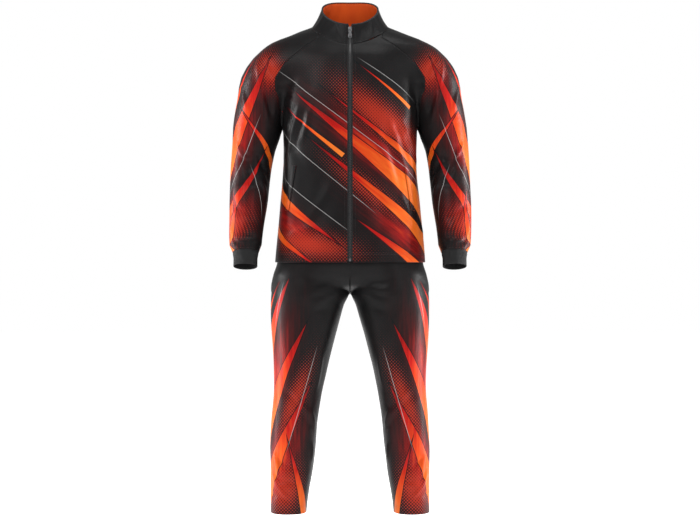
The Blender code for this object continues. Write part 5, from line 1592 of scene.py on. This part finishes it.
def make_stitching(paints):
    """Seam, hem and edge stitches."""
    both = ("left", "right")
    jacket, trousers = [], []
    for inset in HEM_STITCHES:
        jacket.append(inset_line("jacket_back", "first_row", inset))
        jacket += [inset_line(f"jacket_front_{side}", "first_row", inset) for side in both]
        trousers += [inset_line(f"trousers_{part}_{side}", "first_row", TROUSER_HEM_OFFSET + inset)
                     for side in both for part in ("front", "back")]
    low_share = (BODY_ROWS_LOW + 5) / (BODY_ROWS_LOW + 5 + RAGLAN_ROWS)
    for side in both:
        jacket.append(inset_line(f"jacket_front_{side}", "first_column", ZIP_STITCH))
        jacket.append(inset_line(f"jacket_front_{side}", "last_column", SEAM_STITCH, start=low_share))
        jacket.append(inset_line(f"sleeve_{side}", "first_row", SEAM_STITCH))
        jacket.append(inset_line(f"pocket_welt_{side}", "first_column", WELT_STITCH))
        jacket.append(inset_line(f"pocket_welt_{side}", "last_column", WELT_STITCH))
        jacket.append(inset_line(f"pocket_welt_{side}", "first_row", WELT_END_STITCH))
        jacket.append(inset_line(f"pocket_welt_{side}", "last_row", WELT_END_STITCH))
    for edge in ("first_column", "last_column"):
        jacket.append(inset_line("jacket_back", edge, SEAM_STITCH, start=low_share))
        jacket.append(inset_line("collar", edge, ZIP_STITCH))
    jacket.append(inset_line("collar", "first_row", NECK_STITCH))
    stitches("jacket_stitches", jacket, "jacket_cloth", paints["thread"])
    stitches("trouser_stitches", trousers, "trouser_cloth", paints["thread"])
    lining = [inset_line("collar_lining", "last_row", inset) for inset in LINING_STITCHES]
    lining.append(inset_line("collar_lining", "first_row", LINING_FOOT_STITCH))
    stitches("lining_stitches", lining, "collar_lining", paints["lining_thread"])


class Finish:
    """A material that is built up node by node."""

    def __init__(self, name, colour, roughness, metallic=0.0, specular=0.5, sheen=0.0):
        self.material = bpy.data.materials.new(name)
        self.material.use_nodes = True
        self.nodes, self.links = self.material.node_tree.nodes, self.material.node_tree.links
        self.shader = self.nodes["Principled BSDF"]
        self.shader.inputs["Base Color"].default_value = (*colour, 1)
        self.shader.inputs["Roughness"].default_value = roughness
        self.shader.inputs["Metallic"].default_value = metallic
        self.shader.inputs["Specular IOR Level"].default_value = specular
        self.shader.inputs["Sheen Weight"].default_value = sheen
        self.shader.inputs["Sheen Roughness"].default_value = 0.35
        self.height = None

    def add(self, kind, inputs, **settings):
        node = self.nodes.new(kind)
        for key, value in settings.items():
            setattr(node, key, value)
        for key, value in inputs.items():
            if isinstance(value, bpy.types.NodeSocket):
                self.links.new(value, node.inputs[key])
            else:
                node.inputs[key].default_value = value
        return node

    def math(self, operation, *values):
        return self.add("ShaderNodeMath", dict(enumerate(values)), operation=operation).outputs[0]

    def mark(self, name):
        return self.add("ShaderNodeAttribute", {}, attribute_name=name).outputs["Fac"]

    def place(self):
        return self.add("ShaderNodeTexCoord", {}).outputs["Object"]

    def noise(self, scale, detail=2.0, stretch=(1, 1, 1), turn=0.0):
        """Noise on axes turned about Y, finer along an axis the larger its stretch."""
        moved = self.add("ShaderNodeMapping", {"Vector": self.place(), "Scale": [1 / s for s in stretch],
                                               "Rotation": (0, math.radians(turn), 0)}, vector_type="TEXTURE")
        inputs = {"Vector": moved.outputs[0], "Scale": scale, "Detail": detail}
        return self.add("ShaderNodeTexNoise", inputs).outputs[0]

    def step(self, value, edge, soft):
        """0 under the edge and 1 over it."""
        inputs = {0: value, 1: edge - soft, 2: edge + soft}
        return self.add("ShaderNodeMapRange", inputs, clamp=True).outputs[0]

    def mix(self, share, a, b):
        node = self.add("ShaderNodeMix", {0: share}, data_type="RGBA")
        for key, value in ((6, a), (7, b)):
            if isinstance(value, bpy.types.NodeSocket):
                self.links.new(value, node.inputs[key])
            else:
                node.inputs[key].default_value = (*value, 1)
        return node.outputs[2]

    def ramp(self, value, stops):
        node = self.add("ShaderNodeValToRGB", {0: value})
        elements = node.color_ramp.elements
        while len(elements) < len(stops):
            elements.new(0.5)
        for element, (at, colour) in zip(elements, stops):
            element.position, element.color = at, (*colour, 1)
        return node.outputs[0]

    def bump(self, height, distance, strength=1.0):
        inputs = {"Height": height, "Distance": distance, "Strength": strength}
        if self.height is not None:
            inputs["Normal"] = self.height
        self.height = self.add("ShaderNodeBump", inputs).outputs[0]

    def finish(self, colour=None, roughness=None):
        if colour is not None:
            self.links.new(colour, self.shader.inputs["Base Color"])
        if roughness is not None:
            self.links.new(roughness, self.shader.inputs["Roughness"])
        if self.height is not None:
            self.links.new(self.height, self.shader.inputs["Normal"])
        return self.material

    def wave(self, value, period):
        return self.math("SINE", self.math("MULTIPLY", value, 2 * math.pi / period))


def printed_knit(name, shards, lines, turn=PRINT_TURN):
    """Smooth charcoal knit with a print in deep red, red and orange."""
    look = Finish(name, CHARCOAL, 0.40, specular=0.075)
    wales = look.wave(look.mark("across"), KNIT_WALE)
    courses = look.wave(look.mark("along"), KNIT_COURSE)
    look.bump(look.math("MULTIPLY", wales, courses), 0.00004, 0.5)
    look.bump(look.noise(70, 3, (1, 1, 0.4), 20), 0.0009, 0.35)
    mottle = look.noise(26, 4, (1, 1, 0.5), 35)
    cloth = look.mix(mottle, CHARCOAL_DEEP, CHARCOAL)
    streak = look.noise(30, 5, (0.35, 1, 4.0), turn)
    fibre = look.math("MULTIPLY_ADD", streak, 0.9, -0.45)
    glow = look.mark("glow")
    strength = look.math("MULTIPLY", glow, look.math("MULTIPLY_ADD", streak, 1.0, 0.35))
    heat_of_glow = look.ramp(look.math("MULTIPLY_ADD", glow, 0.85, fibre), GLOW_COLOURS)
    cloth = look.mix(look.add("ShaderNodeClamp", {0: strength}).outputs[0], cloth, heat_of_glow)
    x, z = look.mark("flat_x"), look.add("ShaderNodeSeparateXYZ", {0: look.place()}).outputs[2]
    cloth = look.mix(look.math("MULTIPLY", dot_screen(look, x, z), 0.85), cloth, DOT_COLOUR)
    for shard in shards:
        cloth = draw_shard(look, x, z, cloth, fibre, shard)
    for line in lines:
        cloth = draw_line(look, x, z, cloth, line)
    return look.finish(cloth)


def dot_screen(look, x, z):
    """Round dots on a square screen at 45 degrees, as large as the cloth's mark for them says."""
    cell = math.sqrt(0.5) / DOT_PITCH
    away = []
    for kind in ("ADD", "SUBTRACT"):
        share = look.math("FRACT", look.math("MULTIPLY", look.math(kind, x, z), cell))
        away.append(look.math("POWER", look.math("ABSOLUTE", look.math("SUBTRACT", share, 0.5)), 2.0))
    far = look.math("SQRT", look.math("ADD", *away))
    size = look.math("MULTIPLY", look.mark("dots"), 0.62)
    return look.step(look.math("SUBTRACT", size, far), 0.0, 0.05)


def beside(look, x, z, start, end):
    """How far a place lies along the way from start to end, and how far to its side."""
    length = math.dist(start, end)
    way_x, way_z = (end[0] - start[0]) / length, (end[1] - start[1]) / length
    far = look.math("MULTIPLY_ADD", x, way_x, -start[0] * way_x - start[1] * way_z)
    along = look.math("MULTIPLY_ADD", z, way_z, far)
    side = look.math("MULTIPLY_ADD", x, -way_z, start[0] * way_z - start[1] * way_x)
    return along, look.math("ABSOLUTE", look.math("MULTIPLY_ADD", z, way_x, side)), length


def draw_shard(look, x, z, cloth, fibre, shard):
    """A straight shard that narrows to its tip, redder towards it, with a dark outline."""
    foot_x, foot_z, tip_x, tip_z, half_width = shard
    along, side, length = beside(look, x, z, (foot_x, foot_z), (tip_x, tip_z))
    share = look.math("DIVIDE", along, length)
    narrow = look.math("MULTIPLY_ADD", share, -half_width, half_width)
    inside = look.math("MINIMUM", look.math("SUBTRACT", narrow, side), along)
    outline = look.step(inside, -OUTLINE_WIDTH, PRINT_EDGE)
    cloth = look.mix(outline, cloth, OUTLINE_COLOUR)
    warmth = look.math("MULTIPLY_ADD", fibre, 0.55, look.math("SUBTRACT", 1.0, share))
    return look.mix(look.step(inside, 0.0, PRINT_EDGE), cloth, look.ramp(warmth, SHARD_COLOURS))


def draw_line(look, x, z, cloth, line):
    """A fine pale line that fades at its ends."""
    along, side, length = beside(look, x, z, line[:2], line[2:])
    on = look.math("SUBTRACT", 1.0, look.step(side, LINE_HALF_WIDTH, PRINT_EDGE))
    to_end = look.math("MINIMUM", along, look.math("SUBTRACT", length, along))
    faded = look.add("ShaderNodeMapRange", {0: to_end, 1: 0.0, 2: LINE_FADE}, clamp=True).outputs[0]
    return look.mix(look.math("MULTIPLY", look.math("MULTIPLY", on, faded), 0.75), cloth, LINE_COLOUR)


def rib_knit(name):
    look = Finish(name, (0.012, 0.012, 0.0125), 0.60, specular=0.15, sheen=0.02)
    look.bump(look.noise(900, 2, (1, 1, 0.35)), 0.0002, 0.5)
    shade = look.mix(look.noise(60, 3), (0.007, 0.007, 0.0074), (0.013, 0.013, 0.0134))
    return look.finish(shade)


def lining_knit(name):
    """Orange lining with a brushed face."""
    look = Finish(name, (0.40, 0.045, 0.003), 0.75, specular=0.12, sheen=0.03)
    look.bump(look.noise(1400, 2), 0.0002, 0.5)
    look.bump(look.noise(45, 3, (1, 1, 0.5)), 0.0012, 0.5)
    shade = look.mix(look.noise(30, 4, (1, 1, 0.4)), (0.33, 0.030, 0.002), (0.48, 0.060, 0.004))
    return look.finish(shade)


def thread(name, dark, light):
    look = Finish(name, dark, 0.55, specular=0.4)
    shade = look.mix(look.noise(1500, 1), dark, light)
    return look.finish(shade)


def woven_tape(name):
    """Zip tape, with its herringbone weave."""
    look = Finish(name, (0.006, 0.006, 0.0065), 0.7, specular=0.3)
    x, _, z = look.add("ShaderNodeSeparateXYZ", {0: look.place()}).outputs
    slant = look.math("ADD", look.math("PINGPONG", x, 0.0022), z)
    look.bump(look.wave(slant, 0.0011), 0.00012, 0.7)
    shade = look.mix(look.noise(300, 2), (0.005, 0.005, 0.0055), (0.010, 0.010, 0.0105))
    return look.finish(shade)


def moulded_teeth(name):
    look = Finish(name, (0.020, 0.020, 0.021), 0.38, specular=0.5)
    look.bump(look.noise(1800, 2), 0.00006, 0.4)
    shade = look.mix(look.noise(500, 2), (0.014, 0.014, 0.015), (0.030, 0.030, 0.031))
    return look.finish(shade)


def satin_metal(name):
    """Dark satin metal, a little worn where it is handled."""
    look = Finish(name, (0.12, 0.12, 0.125), 0.34, metallic=0.9)
    look.bump(look.noise(900, 4), 0.00006, 0.5)
    shade = look.mix(look.noise(350, 4), (0.09, 0.09, 0.095), (0.20, 0.20, 0.205))
    rough = look.math("MULTIPLY_ADD", look.noise(500, 3), 0.18, 0.24)
    return look.finish(shade, rough)


def make_world():
    """White where the camera looks past the garment, and a dimmer soft light on the garment itself."""
    world = bpy.data.worlds.new("studio_white")
    world.use_nodes = True
    nodes, links = world.node_tree.nodes, world.node_tree.links
    seen, soft = nodes["Background"], nodes.new("ShaderNodeBackground")
    for shader, strength in ((seen, 1.0), (soft, SOFT_LIGHT)):
        shader.inputs["Color"].default_value = (1, 1, 1, 1)
        shader.inputs["Strength"].default_value = strength
    chosen = nodes.new("ShaderNodeMixShader")
    links.new(nodes.new("ShaderNodeLightPath").outputs["Is Camera Ray"], chosen.inputs[0])
    links.new(soft.outputs[0], chosen.inputs[1])
    links.new(seen.outputs[0], chosen.inputs[2])
    links.new(chosen.outputs[0], nodes["World Output"].inputs["Surface"])
    bpy.context.scene.world = world


def make_stage():
    """A white floor, soft lights and the camera."""
    mesh = bpy.data.meshes.new("floor")
    ring = [(FLOOR_RADIUS * math.cos(a), FLOOR_RADIUS * math.sin(a), FLOOR_Z)
            for a in np.linspace(0, 2 * math.pi, 96, endpoint=False)]
    mesh.from_pydata(ring, [], [tuple(range(96))])
    look = Finish("floor_white", (0.86, 0.86, 0.86), 0.9, specular=0.0)
    look.shader.inputs["Emission Color"].default_value = (1, 1, 1, 1)
    look.shader.inputs["Emission Strength"].default_value = FLOOR_GLOW
    mesh.materials.append(look.material)
    floor = bpy.data.objects.new("floor", mesh)
    bpy.context.scene.collection.objects.link(floor)
    make_world()
    for name, at, target, size, power in LIGHTS:
        data = bpy.data.lights.new(name, "AREA")
        data.shape = "RECTANGLE"
        data.size, data.size_y = size
        data.energy = power
        light = bpy.data.objects.new(name, data)
        light.location = at
        light.rotation_euler = (Vector(target) - Vector(at)).to_track_quat("-Z", "Y").to_euler()
        bpy.context.scene.collection.objects.link(light)
    data = bpy.data.cameras.new("camera")
    data.sensor_width = CAMERA_SENSOR
    data.lens = CAMERA_SENSOR * CAMERA_DISTANCE / (700 * METRES_PER_PIXEL)
    camera = bpy.data.objects.new("camera", data)
    camera.location = (0, -CAMERA_DISTANCE, CAMERA_Z)
    camera.rotation_euler = (math.radians(90), 0, 0)
    bpy.context.scene.collection.objects.link(camera)
    bpy.context.scene.camera = camera
    bpy.context.scene.view_settings.view_transform = "Standard"


def main():
    paints = {
        "jacket": printed_knit("jacket_knit", JACKET_SHARDS, JACKET_LINES),
        "back": printed_knit("jacket_back_knit", BACK_SHARDS, BACK_LINES),
        "sleeve": printed_knit("sleeve_knit", SLEEVE_SHARDS, SLEEVE_LINES, LIMB_TURN),
        "trousers_front": printed_knit("trouser_front_knit", LEG_SHARDS, LEG_LINES, LIMB_TURN),
        "trousers_back": printed_knit("trouser_back_knit", LEG_BACK_SHARDS, LEG_BACK_LINES, LIMB_TURN),
        "collar": printed_knit("collar_knit", (), ()),
        "rib": rib_knit("black_rib"),
        "binding": rib_knit("collar_binding_knit"),
        "lining": lining_knit("orange_lining"),
        "thread": thread("black_thread", (0.004, 0.004, 0.0045), (0.014, 0.014, 0.015)),
        "lining_thread": thread("lining_thread", (0.45, 0.05, 0.005), (0.8, 0.16, 0.02)),
        "tape": woven_tape("zip_tape_weave"),
        "teeth": moulded_teeth("zip_teeth_plastic"),
        "metal": satin_metal("dark_satin_metal"),
    }
    fine = FINE_JACKET_FOLDS + FINE_ARM_FOLDS + other_side(FINE_ARM_FOLDS)
    jacket_folds = body_folds(jacket_field, JACKET_FOLDS + fine) + sleeve_folds(SLEEVE_FOLDS)
    legs = FINE_LEG_FOLDS + other_side(FINE_LEG_FOLDS)
    trouser_folds = body_folds(trouser_field, TROUSER_FOLDS + legs)
    panels = make_jacket(paints, jacket_folds)
    make_cuffs(paints["rib"])
    collar = make_collar(paints)
    make_zip(panels, collar, paints)
    make_welts(paints, jacket_folds, panels)
    make_trousers(paints, trouser_folds)
    make_waistband(paints["rib"])
    make_stitching(paints)
    for node in ("zip_tape_left", "zip_tape_right"):
        bpy.data.objects[node].data.materials.clear()
        bpy.data.objects[node].data.materials.append(paints["tape"])
    make_stage()


main()
